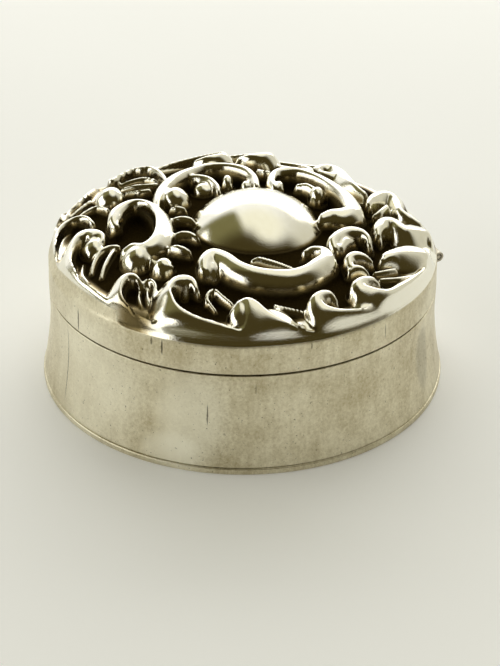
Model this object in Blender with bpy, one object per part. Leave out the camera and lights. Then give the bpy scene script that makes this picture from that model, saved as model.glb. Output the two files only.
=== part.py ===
"""Round silver trinket box: a waisted body, and a hinged cover raised in rococo scrolls.

Metres, +Z up. The origin is the centre of the underside. The hinge is at +Y, and the
cover opens at -Y.
"""
import math

import bmesh
import bpy
import numpy as np
from mathutils import Vector
from mathutils.geometry import delaunay_2d_cdt

# Driving dimensions of the box
BASE_RADIUS = 0.0250
BASE_THICKNESS = 0.0008
FOOT_FLARE = 0.0014
SEAM_HEIGHT = 0.0122
FLARE_HEIGHT = 0.0100
WALL_THICKNESS = 0.0006
BAND_HEIGHT = 0.0029
BAND_THICKNESS = 0.00055
SHOULDER_DRAW = 0.00015
COVER_RISE = 0.00465
COVER_THICKNESS = 0.00045
SEAM_GAP = 0.0002
SOLDER_GAP = 0.00005
EDGE_CHAMFER = 0.00012
FLARE_POWER = 1.6
SHOULDER_POWER = 1.3

# Closing ring inside the body
BEZEL_CLEARANCE = 0.00015
BEZEL_THICKNESS = 0.00045
BEZEL_OVERLAP = 0.0042
BEZEL_STAND = 0.0014

# Hinge at the back
HINGE_STAND = 0.00075
HINGE_LENGTH = 0.0110
KNUCKLE_COUNT = 5
KNUCKLE_GAP = 0.0001
BARREL_RADIUS = 0.00065
PIN_RADIUS = 0.00035
PIN_CLEARANCE = 0.00005
PIN_DOME = 0.00010
FOOT_HEIGHT = 0.0011
FOOT_STEP = 0.00015
HINGE_RISE = 0.0001

# Raised ornament of the cover
BOSS_RADIUS = 0.0080
BOSS_RISE = 0.0028
BOSS_DROP = 0.0011
RIM_MARGIN = 0.0003

# The pattern is turned so that its front faces the way that the box is usually set
# down, with the hinge behind on the right.
PATTERN_TURN = math.radians(67)

# Steps of the round work
ROUND_STEPS = 72
HINGE_STEPS = 20
FLARE_STEPS = 6
BOSS_TURN_STEPS = 36
PEARL_STEPS = 8
SIGHT_ROUNDS = 20
FULL_TURN = 2 * math.pi
MERGE = 0.000001

# Outline of the cover, from the middle to the rim: shares of its radius and of its rise.
# The field is the level that the forms are raised from, and the floor lies between them.
FIELD_SHARES = ((0.0, 1.0), (0.16, 1.0), (0.30, 0.989), (0.426, 0.957), (0.533, 0.914),
                (0.64, 0.849), (0.746, 0.753), (0.853, 0.634), (0.938, 0.47),
                (0.968, 0.37), (0.989, 0.21), (1.0, 0.0645))
FLOOR_SHARES = ((0.0, 0.763), (0.30, 0.763), (0.384, 0.72), (0.554, 0.613), (0.725, 0.484),
                (0.853, 0.40), (0.93, 0.37), (0.962, 0.32), (0.985, 0.2), (1.0, 0.0645))

# The ornament is drawn on a grid with this many squares from the centre to the rim, as it
# looks on a level plane at the cover's top, from an eye in front of the box. The eye's
# place is in shares of the cover's radius, and each form moves along the line of sight to
# its own height.
GRID_SQUARES = 23.5
EYE_SHARES = (0.04, -6.457, 4.007)

# Breaking waves round the rim and C-scrolls round the boss. Each has the side of its
# hollow, 1 for the left as it runs, then rows along its crest: plan place, width towards
# the hollow, width of the back, and rise over the field, all in squares.
WAVE_SHARES = (
    (1, ((-18, -1.7, 0.3, 0.4, 0.7), (-18.8, -0.4, 0.35, 0.5, 0.9), (-19.9, -0.3, 0.4, 0.6, 1),
     (-21, -1.5, 0.4, 0.7, 1.1), (-21.8, -3.9, 0.4, 0.7, 1.1), (-21.9, -7, 0.4, 0.6, 1),
     (-21.5, -10.5, 0.4, 0.5, 0.7), (-20.8, -14.1, 0.3, 0.4, 0.3))),
    (1, ((-16.3, -6.2, 0.25, 0.3, 0.8), (-16.6, -4.6, 0.4, 0.5, 1.1),
     (-17.5, -3.9, 0.6, 0.6, 1.3), (-18.7, -4.1, 0.6, 0.7, 1.4), (-19.5, -5.7, 0.45, 1, 1.45),
     (-19.7, -8.3, 0.3, 1.4, 1.4), (-19.6, -11, 0.3, 1.6, 1.35), (-18.9, -13.6, 0.3, 1.7, 1.3),
     (-17.9, -16.2, 0.3, 1.8, 1.2), (-16.4, -18.2, 0.35, 1.8, 1.1),
     (-14.9, -20.2, 0.4, 1.8, 0.9), (-13.3, -22.5, 0.4, 1.7, 0.7),
     (-11.5, -24.8, 0.4, 1.5, 0.4), (-9.2, -26.6, 0.3, 1.2, 0.2))),
    (1, ((-11.4, -15.8, 0.2, 0.3, 0.8), (-12, -14.8, 0.35, 0.6, 1.15),
     (-12.8, -14.9, 0.4, 1, 1.35), (-13.2, -16.3, 0.3, 1.5, 1.45),
     (-13.3, -18.1, 0.3, 1.8, 1.45), (-13, -19.9, 0.3, 2.1, 1.4), (-12.3, -21.6, 0.3, 2.5, 1.3),
     (-11.4, -23.3, 0.3, 2.7, 1.1), (-10.1, -24.8, 0.3, 2.4, 0.8), (-8.4, -26.2, 0.3, 1.9, 0.5),
     (-6.3, -27.4, 0.3, 1.3, 0.25))),
    (1, ((-5, -17.6, 0.25, 0.35, 0.8), (-5.5, -15.7, 0.45, 0.6, 1.15),
     (-6.4, -15.1, 0.6, 0.9, 1.4), (-7.4, -15.8, 0.45, 1.4, 1.5), (-7.9, -17.6, 0.3, 1.8, 1.5),
     (-7.6, -19.6, 0.3, 2.1, 1.45), (-7, -21.4, 0.3, 2.6, 1.35), (-6, -22.8, 0.3, 3, 1.2),
     (-4.6, -24.1, 0.3, 3, 1), (-2.8, -25.2, 0.3, 2.6, 0.75), (-0.8, -26.5, 0.3, 2, 0.5),
     (1.5, -28.1, 0.3, 1.4, 0.25))),
    (1, ((-0.7, -22.1, 0.3, 0.6, 0.7), (-0.2, -20.8, 0.4, 1, 1.1),
     (0.8, -20.3, 0.45, 1.6, 1.35), (1.7, -21, 0.4, 2.4, 1.35), (2.5, -22.4, 0.35, 3, 1.3),
     (3.6, -23.8, 0.3, 3.3, 1.2), (4.8, -25.2, 0.3, 3.2, 1), (6.1, -26.3, 0.3, 2.6, 0.8),
     (7.8, -27.1, 0.3, 2, 0.5), (9.7, -27.2, 0.3, 1.4, 0.25), (11.5, -26.3, 0.3, 1, 0.1))),
    (1, ((10.1, -19.9, 0.3, 0.4, 0.9), (9.7, -18.6, 0.6, 0.6, 1.25),
     (8.9, -18.4, 0.8, 0.9, 1.4), (8.3, -19.6, 0.6, 1.3, 1.4), (8.8, -21.3, 0.6, 1.7, 1.3),
     (9.8, -22.5, 0.8, 2, 1.2), (11, -23.3, 1, 2, 1.1), (12.3, -23.6, 1, 1.9, 1),
     (13.9, -23.2, 0.7, 1.6, 0.85), (15.6, -22.7, 0.5, 1.2, 0.6),
     (17.2, -21.7, 0.35, 0.9, 0.35), (18.6, -20.3, 0.3, 0.6, 0.15))),
    (1, ((15, -16.2, 0.3, 0.4, 0.9), (14.5, -15.2, 0.6, 0.6, 1.25),
     (13.5, -15.2, 0.8, 0.9, 1.4), (13, -16.4, 0.6, 1.3, 1.35), (13.9, -17.3, 0.6, 1.6, 1.3),
     (15.3, -18.3, 0.8, 1.8, 1.25), (16.6, -19, 1.2, 1.8, 1.2), (18.1, -18.8, 1.5, 1.5, 1.1),
     (19.5, -17.4, 1.3, 1.2, 0.85), (20.8, -15.5, 0.9, 0.9, 0.55),
     (21.8, -13.4, 0.5, 0.6, 0.3))),
    (1, ((16.1, -10.8, 0.25, 0.3, 0.8), (16.8, -9.7, 0.35, 0.6, 1.15),
     (18.1, -9.1, 0.5, 0.9, 1.3), (19.5, -8.9, 0.7, 1.1, 1.3), (20.8, -9.1, 1, 1.2, 1.15),
     (21.6, -10.6, 1, 1, 0.85), (21.8, -12.5, 0.7, 0.7, 0.5))),
    (1, ((16.1, -4.3, 0.25, 0.3, 0.8), (16.3, -2.5, 0.4, 0.5, 1.15), (17, -1, 0.7, 0.6, 1.35),
     (17.8, -0.7, 0.7, 0.7, 1.4), (18.6, -2.2, 0.7, 0.8, 1.35), (19.5, -3.1, 0.8, 0.9, 1.25),
     (20.7, -3.2, 0.9, 1, 1.1), (21.7, -3.7, 1, 1, 0.9), (22.1, -5.8, 0.8, 0.9, 0.6))),
    (1, ((15.4, 4.1, 0.25, 0.3, 0.8), (16, 5.7, 0.4, 0.5, 1.1), (17.1, 6.8, 0.7, 0.8, 1.3),
     (18.1, 7, 0.8, 0.9, 1.35), (18.7, 5.6, 0.7, 0.9, 1.2), (19.1, 2.7, 0.6, 0.8, 1),
     (20, 0.8, 0.5, 0.8, 0.8), (21.1, -1.3, 0.4, 0.6, 0.4))),
    (1, ((9, 14.4, 0.25, 0.5, 0.9), (10.1, 15.4, 0.35, 1, 1.1), (11.4, 15.3, 0.4, 1.4, 1.2),
     (12.6, 13.9, 0.4, 1.5, 1.2), (13.5, 11.4, 0.4, 1.3, 1), (14.3, 9, 0.3, 0.9, 0.7),
     (15.2, 7, 0.3, 0.6, 0.4))),
    (1, ((-18.1, 7, 0.25, 0.4, 0.4), (-16.6, 10, 0.35, 0.5, 0.8), (-14.8, 12.7, 0.4, 0.6, 1.1),
     (-13.2, 13.7, 0.4, 0.6, 1.1), (-12, 12.5, 0.35, 0.5, 0.9), (-11.1, 10.4, 0.25, 0.4, 0.6))),
    (1, ((-18.9, 5.2, 0.3, 0.4, 0.4), (-20.2, 2.9, 0.4, 0.6, 0.7), (-21.3, -0.7, 0.4, 0.7, 0.7),
     (-21.8, -4.7, 0.3, 0.6, 0.4))),
    (-1, ((-18.2, 2.7, 0.25, 0.4, 0.7), (-18.6, 5.2, 0.4, 0.6, 1.1), (-18, 7.3, 0.5, 0.7, 1.3),
     (-16.7, 8, 0.5, 0.7, 1.3), (-15.4, 7, 0.45, 0.6, 1.1), (-14.6, 4.7, 0.3, 0.4, 0.7))),
)
SCROLL_SHARES = (
    (1, ((-4.2, -12.7, 0.9, 0.9, 1), (-4.2, -10.5, 1.1, 1.1, 1.3), (-3.4, -9, 1.3, 1.4, 1.4),
     (-2, -9.8, 1.2, 1.5, 1.4), (-0.4, -11.8, 0.9, 1.5, 1.4), (1.4, -13, 0.7, 1.5, 1.4),
     (3.3, -13.6, 0.65, 1.4, 1.4), (5.4, -13.6, 0.65, 1.4, 1.4), (7.2, -12.7, 0.8, 1.3, 1.4),
     (8.6, -11.1, 1.2, 1.3, 1.4), (9.8, -9.5, 1.4, 1.1, 1.4), (9.3, -8, 1, 0.8, 1.3),
     (8, -7.9, 0.5, 0.5, 1.1), (7.2, -8.9, 0.3, 0.4, 0.8))),
    (-1, ((-15.5, -3, 0.4, 0.5, 0.7), (-15.9, -0.9, 0.5, 0.6, 1.2),
     (-15.5, 1.4, 0.6, 0.7, 1.45), (-14.5, 3.3, 0.7, 0.8, 1.6), (-12.9, 4, 0.7, 0.9, 1.65),
     (-11.4, 3.2, 0.8, 1, 1.65), (-10.2, 1.1, 0.9, 1.1, 1.65), (-9.4, -1.9, 1.1, 1.2, 1.65),
     (-9.3, -5, 1.1, 1.2, 1.6), (-9.9, -7.3, 1, 1.1, 1.5), (-11.1, -8.5, 0.9, 1, 1.35),
     (-12.5, -8.4, 0.8, 0.9, 1.25), (-13.3, -9.6, 0.6, 0.7, 0.9))),
    (1, ((1.6, 9.4, 0.5, 0.5, 0.8), (1.3, 12.1, 0.9, 0.6, 1.2), (0.3, 14.3, 1, 0.7, 1.5),
     (-1.3, 15.3, 0.7, 0.7, 1.6), (-3.1, 15.6, 0.5, 0.7, 1.6), (-4.9, 15.3, 0.5, 0.7, 1.6),
     (-6.7, 14.1, 0.8, 0.8, 1.6), (-8.3, 12.6, 1, 0.9, 1.6), (-9.6, 10.4, 1, 0.9, 1.55),
     (-10.4, 7.7, 0.8, 0.8, 1.4), (-10.6, 4.8, 0.5, 0.6, 1.1), (-10.4, 2.5, 0.3, 0.4, 0.7))),
    (-1, ((-8.1, 10.7, 0.25, 0.4, 0.7), (-7, 11.7, 0.35, 0.6, 1), (-5.6, 11.8, 0.4, 0.8, 1.1),
     (-4.4, 11.1, 0.4, 0.8, 1), (-3.5, 9.3, 0.35, 0.6, 0.8), (-3.2, 7.5, 0.25, 0.4, 0.5))),
    (-1, ((3.9, 9.1, 0.6, 0.5, 0.9), (3.5, 11.4, 0.7, 0.6, 1.2), (4, 13.4, 0.8, 0.7, 1.45),
     (5.3, 14.4, 0.9, 0.8, 1.6), (7, 14.2, 0.8, 0.8, 1.65), (8.7, 13, 0.8, 0.9, 1.65),
     (10.4, 11.1, 0.9, 1, 1.65), (12.1, 8.4, 1.1, 1.1, 1.65), (13.2, 5.8, 1.4, 1.1, 1.6),
     (13.3, 3.2, 1.3, 1, 1.5), (12.1, 2.2, 0.9, 0.8, 1.35), (10.7, 1.9, 0.6, 0.6, 1.2),
     (9.5, 0.8, 0.35, 0.4, 0.9))),
    (-1, ((10.7, -7.5, 0.6, 0.6, 0.8), (10.6, -5.2, 0.8, 0.7, 1.25), (11.6, -3.5, 1, 0.8, 1.4),
     (12.8, -2.8, 1, 0.9, 1.45), (14, -3.3, 0.7, 0.8, 1.4), (14.7, -4.9, 0.4, 0.5, 1.2),
     (14.7, -6.7, 0.3, 0.4, 0.8))),
    (-1, ((12.2, -11.7, 0.7, 0.6, 0.8), (12.3, -9.8, 0.8, 0.7, 1.1),
     (13.1, -9.1, 0.8, 0.7, 1.2), (14, -9.7, 0.5, 0.5, 1.1), (14.6, -10.9, 0.25, 0.3, 0.8))),
    (-1, ((12.1, -13.3, 0.5, 0.4, 0.5), (12.7, -12.4, 0.6, 0.5, 0.8),
     (13.5, -12.7, 0.4, 0.4, 0.8), (14, -13.8, 0.2, 0.3, 0.5))),
)

# Waves along the back rim: one drawing, in shares of a full turn, shares of the radius,
# widths in squares and a share of the rise, then the places round the cover where it
# stands, in shares of a full turn, each with its rise in squares.
RIM_WAVE_SHARES = ((0.022, 0.79, .3, .4, .6), (0.011, 0.765, .5, .6, .9),
                   (-0.003, 0.77, .5, .8, 1.0), (-0.011, 0.80, .4, 1.0, 1.0),
                   (-0.011, 0.845, .35, 1.1, .95), (0.0, 0.885, .35, 1.1, .8),
                   (0.017, 0.915, .35, 1.0, .6), (0.036, 0.94, .3, .8, .4),
                   (0.056, 0.96, .25, .6, .2))
RIM_WAVE_TURN_SHARES = ((0.15, .6), (0.19, .2), (0.233, 1.1), (0.283, 1.1))

# Leaves beside the left scroll: plan place, half width, and rise over the field.
LEAF_SHARES = (
    ((-8.8, 1.8, 0.5, 0.6), (-7.9, 2.4, 0.7, 0.9), (-7.1, 2.4, 0.35, 0.7)),
    ((-8.6, -1, 0.5, 0.6), (-7.6, -0.5, 0.8, 0.95), (-6.5, -0.6, 0.7, 0.9),
     (-5.7, -1.3, 0.3, 0.6)),
    ((-8.2, -5.3, 0.5, 0.6), (-7.1, -4.6, 0.9, 1), (-6.1, -4.7, 0.8, 0.9),
     (-5.2, -5.5, 0.3, 0.6)),
    ((-8.6, -8.3, 0.5, 0.6), (-7.6, -8.1, 0.9, 1), (-6.5, -8.5, 0.7, 0.9),
     (-5.9, -9.3, 0.3, 0.6)),
)

# Balls in the curls and swellings in the hollows: plan place, half length across and
# along, and rise over the field, in squares.
PEARL_SHARES = (
    (-17.6, -6.7, 1.65, 1.7, 0.8), (-15.6, -1.7, 0.8, 1.3, 0.8), (-14.7, -2.2, 0.6, 1.2, 0.5),
    (-12.1, -10.1, 1.9, 2, 1), (-8.9, -12.5, 1.4, 1.4, 0.4), (-8.4, 6, 1.8, 1.9, 1.2),
    (-2.1, 11.7, 1, 1.6, 0.9), (0.3, 10, 0.9, 1.3, 0.6), (-5, 9.3, 1.7, 1.7, 0.5),
    (4.5, 10, 0.9, 1.4, 1), (-16.7, 4.7, 1.8, 2, 1), (8.1, 4.2, 1.1, 1.5, 0.3),
    (11.4, -0.2, 2.3, 1.9, 0.6), (0.1, -23, 1.2, 1.5, 0.6), (2.2, -24.8, 2, 2.4, 0.6),
    (8.4, -21.8, 1.2, 1.7, 0.7), (14.1, -19.9, 2.3, 2.2, 0.5), (18.7, -12.5, 2.9, 2.3, 0.6),
    (18.6, -6.1, 2.9, 2.2, 0.6), (17.2, 3.3, 1.9, 1.9, 0.7), (-3.7, -11.9, 1.6, 1.7, 0.9),
    (-6.3, -17.6, 0.9, 1.1, 0.3),
)
BOSS_PLACE_SHARES = (1.5, -0.2)

# Section across a wave or a scroll, from the crest to the foot: shares of the width and
# of the height. A scroll's back is round and a wave's runs out in a soft foot, and each
# foot stands further out by a share of the height.
HOLLOW_SHARES = ((0.0, 1.0), (0.55, 0.9), (0.85, 0.5), (1.0, 0.0))
BACK_SHARES = ((0.0, 1.0), (0.3, 0.98), (0.6, 0.86), (0.85, 0.54), (1.0, 0.0))
RUN_OUT_SHARES = ((0.0, 1.0), (0.25, 0.92), (0.5, 0.67), (0.75, 0.31), (1.0, 0.0))
HOLLOW_LINE_SHARES = (0.98, 0.6)
BACK_LINE_SHARES = (0.55, 0.98)
HOLLOW_LEAN_SHARE = 0.10
BACK_LEAN_SHARE = 0.12
RUN_OUT_LEAN_SHARE = 0.25
PEARL_RING_SHARES = (0.98, 0.6)
BOSS_RING_SHARES = (1.01, 0.995, 0.8, 0.55, 0.28)

# Rings of the plain field that carry its dome between the forms: share of the radius and
# the steps round it.
FIELD_RING_SHARES = ((1.0, 72), (0.965, 48), (0.87, 30), (0.72, 24), (0.5, 18))
NEAR_SHARE = 0.12

# Worked out from the driving dimensions
WAIST_RADIUS = BASE_RADIUS - FOOT_FLARE
COVER_RADIUS = WAIST_RADIUS - SHOULDER_DRAW
WALL_BOTTOM = BASE_THICKNESS + SOLDER_GAP
BAND_BOTTOM = SEAM_HEIGHT + SEAM_GAP
BAND_TOP = BAND_BOTTOM + BAND_HEIGHT
COVER_BOTTOM = BAND_TOP + SOLDER_GAP
COVER_TOP = COVER_BOTTOM + COVER_RISE
BAND_INNER_RADIUS = WAIST_RADIUS - BAND_THICKNESS
BEZEL_RADIUS = BAND_INNER_RADIUS - BEZEL_CLEARANCE
BEZEL_BOTTOM = SEAM_HEIGHT - BEZEL_OVERLAP
BEZEL_TOP = SEAM_HEIGHT + BEZEL_STAND
HINGE_PLACE = WAIST_RADIUS + HINGE_STAND
HINGE_HEIGHT = SEAM_HEIGHT + HINGE_RISE
BORE_RADIUS = PIN_RADIUS + PIN_CLEARANCE
GRID_SQUARE = COVER_RADIUS / GRID_SQUARES
EYE = np.array(EYE_SHARES) * COVER_RADIUS


# Scene, materials and small helpers

def clear_scene():
    for item in list(bpy.data.objects):
        bpy.data.objects.remove(item)


def silver(name, colour, roughness):
    material = bpy.data.materials.new(name)
    material.use_nodes = True
    shader = material.node_tree.nodes["Principled BSDF"]
    shader.inputs["Base Color"].default_value = (*colour, 1.0)
    shader.inputs["Metallic"].default_value = 1.0
    shader.inputs["Roughness"].default_value = roughness
    return material


def add_piece(name, mesh_builder, material):
    """Closes a bmesh into a named object with outward faces and smooth round sides."""
    bmesh.ops.remove_doubles(mesh_builder, verts=mesh_builder.verts, dist=MERGE)
    bmesh.ops.recalc_face_normals(mesh_builder, faces=mesh_builder.faces)
    mesh = bpy.data.meshes.new(name)
    mesh_builder.to_mesh(mesh)
    mesh_builder.free()
    mesh.shade_smooth()
    mesh.set_sharp_from_angle(angle=math.radians(35))
    mesh.materials.append(material)
    piece = bpy.data.objects.new(name, mesh)
    bpy.context.scene.collection.objects.link(piece)
    return piece


def blend(first, last, share):
    return first + (last - first) * share


# Turned work

def turned(name, outline, material):
    """Spins an outline of (radius, height) points once round the vertical axis."""
    builder = bmesh.new()
    points = [builder.verts.new((radius, 0.0, height)) for radius, height in outline]
    pairs = list(zip(points, points[1:]))
    if outline[0][0] > 0.0:
        pairs.append((points[-1], points[0]))
    edges = [builder.edges.new(pair) for pair in pairs]
    bmesh.ops.spin(builder, geom=points + edges, cent=(0.0, 0.0, 0.0),
                   axis=(0.0, 0.0, 1.0), angle=FULL_TURN, steps=ROUND_STEPS, use_merge=True)
    return add_piece(name, builder, material)


def wall_radius(height):
    """Outer radius of the waisted body: a flared foot that straightens below the seam."""
    climb = max(0.0, 1.0 - (height - WALL_BOTTOM) / (FLARE_HEIGHT - WALL_BOTTOM))
    return blend(WAIST_RADIUS, BASE_RADIUS, climb ** FLARE_POWER)


def band_radius(height):
    """Outer radius of the cover's band, which draws in at the shoulder."""
    climb = (height - BAND_BOTTOM) / BAND_HEIGHT
    return blend(WAIST_RADIUS, COVER_RADIUS, climb ** SHOULDER_POWER)


def make_base_plate(material):
    outline = [(0.0, BASE_THICKNESS), (BASE_RADIUS - EDGE_CHAMFER, BASE_THICKNESS),
               (BASE_RADIUS, BASE_THICKNESS - EDGE_CHAMFER), (BASE_RADIUS, EDGE_CHAMFER),
               (BASE_RADIUS - EDGE_CHAMFER, 0.0), (0.0, 0.0)]
    return turned("base_plate", outline, material)


def make_body_wall(material):
    heights = [blend(WALL_BOTTOM, FLARE_HEIGHT, step / FLARE_STEPS)
               for step in range(FLARE_STEPS + 1)]
    foot = wall_radius(WALL_BOTTOM)
    outer = [(WAIST_RADIUS - EDGE_CHAMFER, SEAM_HEIGHT),
             (WAIST_RADIUS, SEAM_HEIGHT - EDGE_CHAMFER)]
    outer += [(wall_radius(height), height) for height in reversed(heights[1:])]
    outer += [(foot - EDGE_CHAMFER, WALL_BOTTOM)]
    inner = [(wall_radius(height) - WALL_THICKNESS, height) for height in heights[::2]]
    inner += [(WAIST_RADIUS - WALL_THICKNESS, SEAM_HEIGHT)]
    return turned("body_wall", outer + inner, material)


def make_inner_bezel(material):
    inner = BEZEL_RADIUS - BEZEL_THICKNESS
    outline = [(inner, BEZEL_TOP), (BEZEL_RADIUS - EDGE_CHAMFER, BEZEL_TOP),
               (BEZEL_RADIUS, BEZEL_TOP - EDGE_CHAMFER), (BEZEL_RADIUS, BEZEL_BOTTOM),
               (inner, BEZEL_BOTTOM)]
    return turned("inner_bezel", outline, material)


def make_lid_band(material):
    middle = blend(BAND_BOTTOM, BAND_TOP, 0.5)
    outline = [(BAND_INNER_RADIUS, BAND_TOP), (COVER_RADIUS - EDGE_CHAMFER, BAND_TOP),
               (band_radius(BAND_TOP - EDGE_CHAMFER), BAND_TOP - EDGE_CHAMFER),
               (band_radius(middle), middle),
               (band_radius(BAND_BOTTOM + EDGE_CHAMFER), BAND_BOTTOM + EDGE_CHAMFER),
               (WAIST_RADIUS - EDGE_CHAMFER, BAND_BOTTOM),
               (BAND_INNER_RADIUS, BAND_BOTTOM)]
    return turned("lid_band", outline, material)


# Hinge

def joined_rows(builder, rows):
    """Faces from each closed row of vertices to the next, corner by corner."""
    for row, following in zip(rows, rows[1:]):
        for first in range(len(row)):
            second = (first + 1) % len(row)
            builder.faces.new((row[first], row[second], following[second], following[first]))


def knuckle_section(across, rises, seat_radius):
    """Outline of a knuckle at one place along the pin: the barrel and its soldered foot."""
    reach = math.sqrt((seat_radius + SOLDER_GAP) ** 2 - across ** 2) - HINGE_PLACE
    side = 1.0 if rises else -1.0
    first = math.radians(90)
    arc = math.radians(270) - math.asin(FOOT_STEP / BARREL_RADIUS)
    points = []
    for step in range(HINGE_STEPS + 1):
        angle = first - arc * step / HINGE_STEPS
        points.append((BARREL_RADIUS * math.cos(angle), side * BARREL_RADIUS * math.sin(angle)))
    points.append((reach, side * FOOT_STEP))
    points.append((reach, side * FOOT_HEIGHT))
    return points


def make_knuckle(name, number, rises, material):
    """One knuckle: a bored barrel along X whose foot follows the round wall or band."""
    length = (HINGE_LENGTH - KNUCKLE_GAP * (KNUCKLE_COUNT - 1)) / KNUCKLE_COUNT
    start = -HINGE_LENGTH / 2 + number * (length + KNUCKLE_GAP)
    seat_radius = band_radius(BAND_BOTTOM + FOOT_HEIGHT) if rises else WAIST_RADIUS
    outer, inner = [], []
    for place in (start, start + length / 2, start + length):
        section = knuckle_section(place, rises, seat_radius)
        outer.append([Vector((place, HINGE_PLACE + y, HINGE_HEIGHT + z)) for y, z in section])
        bore = [Vector((y, z)).normalized() * BORE_RADIUS for y, z in section]
        inner.append([Vector((place, HINGE_PLACE + y, HINGE_HEIGHT + z)) for y, z in bore])
    builder = bmesh.new()
    rows = [[builder.verts.new(point) for point in loop]
            for loop in outer + [inner[-1], inner[0]]]
    joined_rows(builder, rows + rows[:1])
    return add_piece(name, builder, material)


def make_hinge_pin(material):
    builder = bmesh.new()
    ends = []
    places = ((-HINGE_LENGTH / 2, PIN_RADIUS - PIN_DOME),
              (-HINGE_LENGTH / 2 + PIN_DOME, PIN_RADIUS),
              (HINGE_LENGTH / 2 - PIN_DOME, PIN_RADIUS),
              (HINGE_LENGTH / 2, PIN_RADIUS - PIN_DOME))
    for place, radius in places:
        ring = [builder.verts.new((place, HINGE_PLACE + radius * math.cos(angle),
                                   HINGE_HEIGHT + radius * math.sin(angle)))
                for angle in (FULL_TURN * step / HINGE_STEPS for step in range(HINGE_STEPS))]
        ends.append(ring)
    joined_rows(builder, ends)
    builder.faces.new(ends[0])
    builder.faces.new(ends[-1])
    return add_piece("hinge_pin", builder, material)


# Cover

def outline_height(distance, outline_shares):
    """Height of the cover's field or floor, at distances from its centre."""
    shares = [share for share, _ in outline_shares]
    climbs = [climb for _, climb in outline_shares]
    return COVER_BOTTOM + COVER_RISE * np.interp(distance / COVER_RADIUS, shares, climbs)


def placed_on_cover(point_shares, rise):
    """Moves a drawn point along the line of sight, from the top plane to its own height."""
    drawn = np.array(point_shares) * GRID_SQUARE
    low, high = COVER_BOTTOM, COVER_TOP + BOSS_RISE
    for _ in range(SIGHT_ROUNDS):
        height = blend(low, high, 0.5)
        place = EYE[:2] + (drawn - EYE[:2]) * (EYE[2] - height) / (EYE[2] - COVER_TOP)
        if outline_height(np.hypot(*place), FIELD_SHARES) + rise > height:
            low = height
        else:
            high = height
    return place


def kept_inside(place, margin):
    """Draws a point in from the rim, so that the form on it stays within the cover."""
    return place * min(1.0, (COVER_RADIUS - margin) / np.hypot(*place))


def drawn_rows(points):
    """Rows of a drawn form, at their places on the cover."""
    rows = []
    for across, away, hollow, back, rise in points:
        place = kept_inside(placed_on_cover((across, away), rise * GRID_SQUARE), RIM_MARGIN)
        rows.append((*place, hollow * GRID_SQUARE, back * GRID_SQUARE, rise * GRID_SQUARE))
    return rows


def rim_wave_rows(turn_share, rise):
    """Rows of one wave of the back rim, turned to its place."""
    rows = []
    for ahead, radius, hollow, back, share in RIM_WAVE_SHARES:
        angle = FULL_TURN * (turn_share + ahead)
        rows.append((radius * COVER_RADIUS * math.cos(angle),
                     radius * COVER_RADIUS * math.sin(angle), hollow * GRID_SQUARE,
                     back * GRID_SQUARE, share * rise * GRID_SQUARE))
    return rows


class Ridge:
    """A form pressed up along a drawn line: steep on the hollow side, round at its back."""

    back_shares = BACK_SHARES
    back_lean = BACK_LEAN_SHARE

    def __init__(self, side, rows):
        rows = np.array(rows)
        self.side = side
        self.path, self.hollows, self.backs, self.rises = rows[:, :2], *rows[:, 2:].T

    def lines(self):
        """Lines along the form, from the foot in its hollow over the crest to its back."""
        ahead = np.gradient(self.path, axis=0)
        ahead /= np.hypot(*ahead.T)[:, None]
        away = np.stack((ahead[:, 1], -ahead[:, 0]), axis=1) * self.side
        distances = np.hypot(*self.path.T)
        climbs = (outline_height(distances, FIELD_SHARES) + self.rises
                  - outline_height(distances, FLOOR_SHARES))
        hollow = self.hollows + climbs * HOLLOW_LEAN_SHARE
        back = self.backs + climbs * self.back_lean
        reaches = [-hollow * share for share in HOLLOW_LINE_SHARES] + [np.zeros(len(back))]
        reaches += [back * share for share in BACK_LINE_SHARES]
        return [self.path + away * reach[:, None] for reach in reaches]

    def height(self, places, field, floor):
        """Height at many places, which is the floor's away from the form."""
        spans = np.diff(self.path, axis=0)
        away = places[:, None, :] - self.path[None, :-1, :]
        along = np.clip((away * spans).sum(axis=2) / (spans ** 2).sum(axis=1), 0.0, 1.0)
        away = away - along[:, :, None] * spans
        distances = np.hypot(away[:, :, 0], away[:, :, 1])
        nearest = distances.argmin(axis=1)
        rows = np.arange(len(places))
        station = nearest + along[rows, nearest]
        offset = away[rows, nearest]
        span = spans[nearest]
        left = np.sign(span[:, 0] * offset[:, 1] - span[:, 1] * offset[:, 0])
        distance = distances[rows, nearest]
        stations = np.arange(len(self.path))
        climb = field + np.interp(station, stations, self.rises) - floor
        hollow = np.interp(station, stations, self.hollows) + climb * HOLLOW_LEAN_SHARE
        back = np.interp(station, stations, self.backs) + climb * self.back_lean
        steep = np.interp(distance / hollow, *zip(*HOLLOW_SHARES))
        long = np.interp(distance / back, *zip(*self.back_shares))
        return floor + climb * np.where(left * self.side > 0.0, steep, long)


class Wave(Ridge):
    """A breaking wave, whose back runs out in a soft foot."""

    back_shares = RUN_OUT_SHARES
    back_lean = RUN_OUT_LEAN_SHARE


class Pearl:
    """A ball or a swelling pressed up as a half ellipsoid."""

    def __init__(self, across, away, half_across, half_away, rise):
        self.rise = rise * GRID_SQUARE
        self.half = np.array((half_across, half_away)) * GRID_SQUARE
        place = placed_on_cover((across, away), self.rise)
        self.place = kept_inside(place, RIM_MARGIN + self.half.max())

    def lines(self):
        angles = np.linspace(0.0, FULL_TURN, PEARL_STEPS + 1)
        circle = np.stack((np.cos(angles), np.sin(angles)), axis=1)
        rings = [self.place + circle * self.half * share for share in PEARL_RING_SHARES]
        return rings + [self.place[None, :]]

    def height(self, places, field, floor):
        reach = (((places - self.place) / self.half) ** 2).sum(axis=1)
        return floor + (field + self.rise - floor) * np.sqrt(np.clip(1.0 - reach, 0.0, 1.0))


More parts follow.
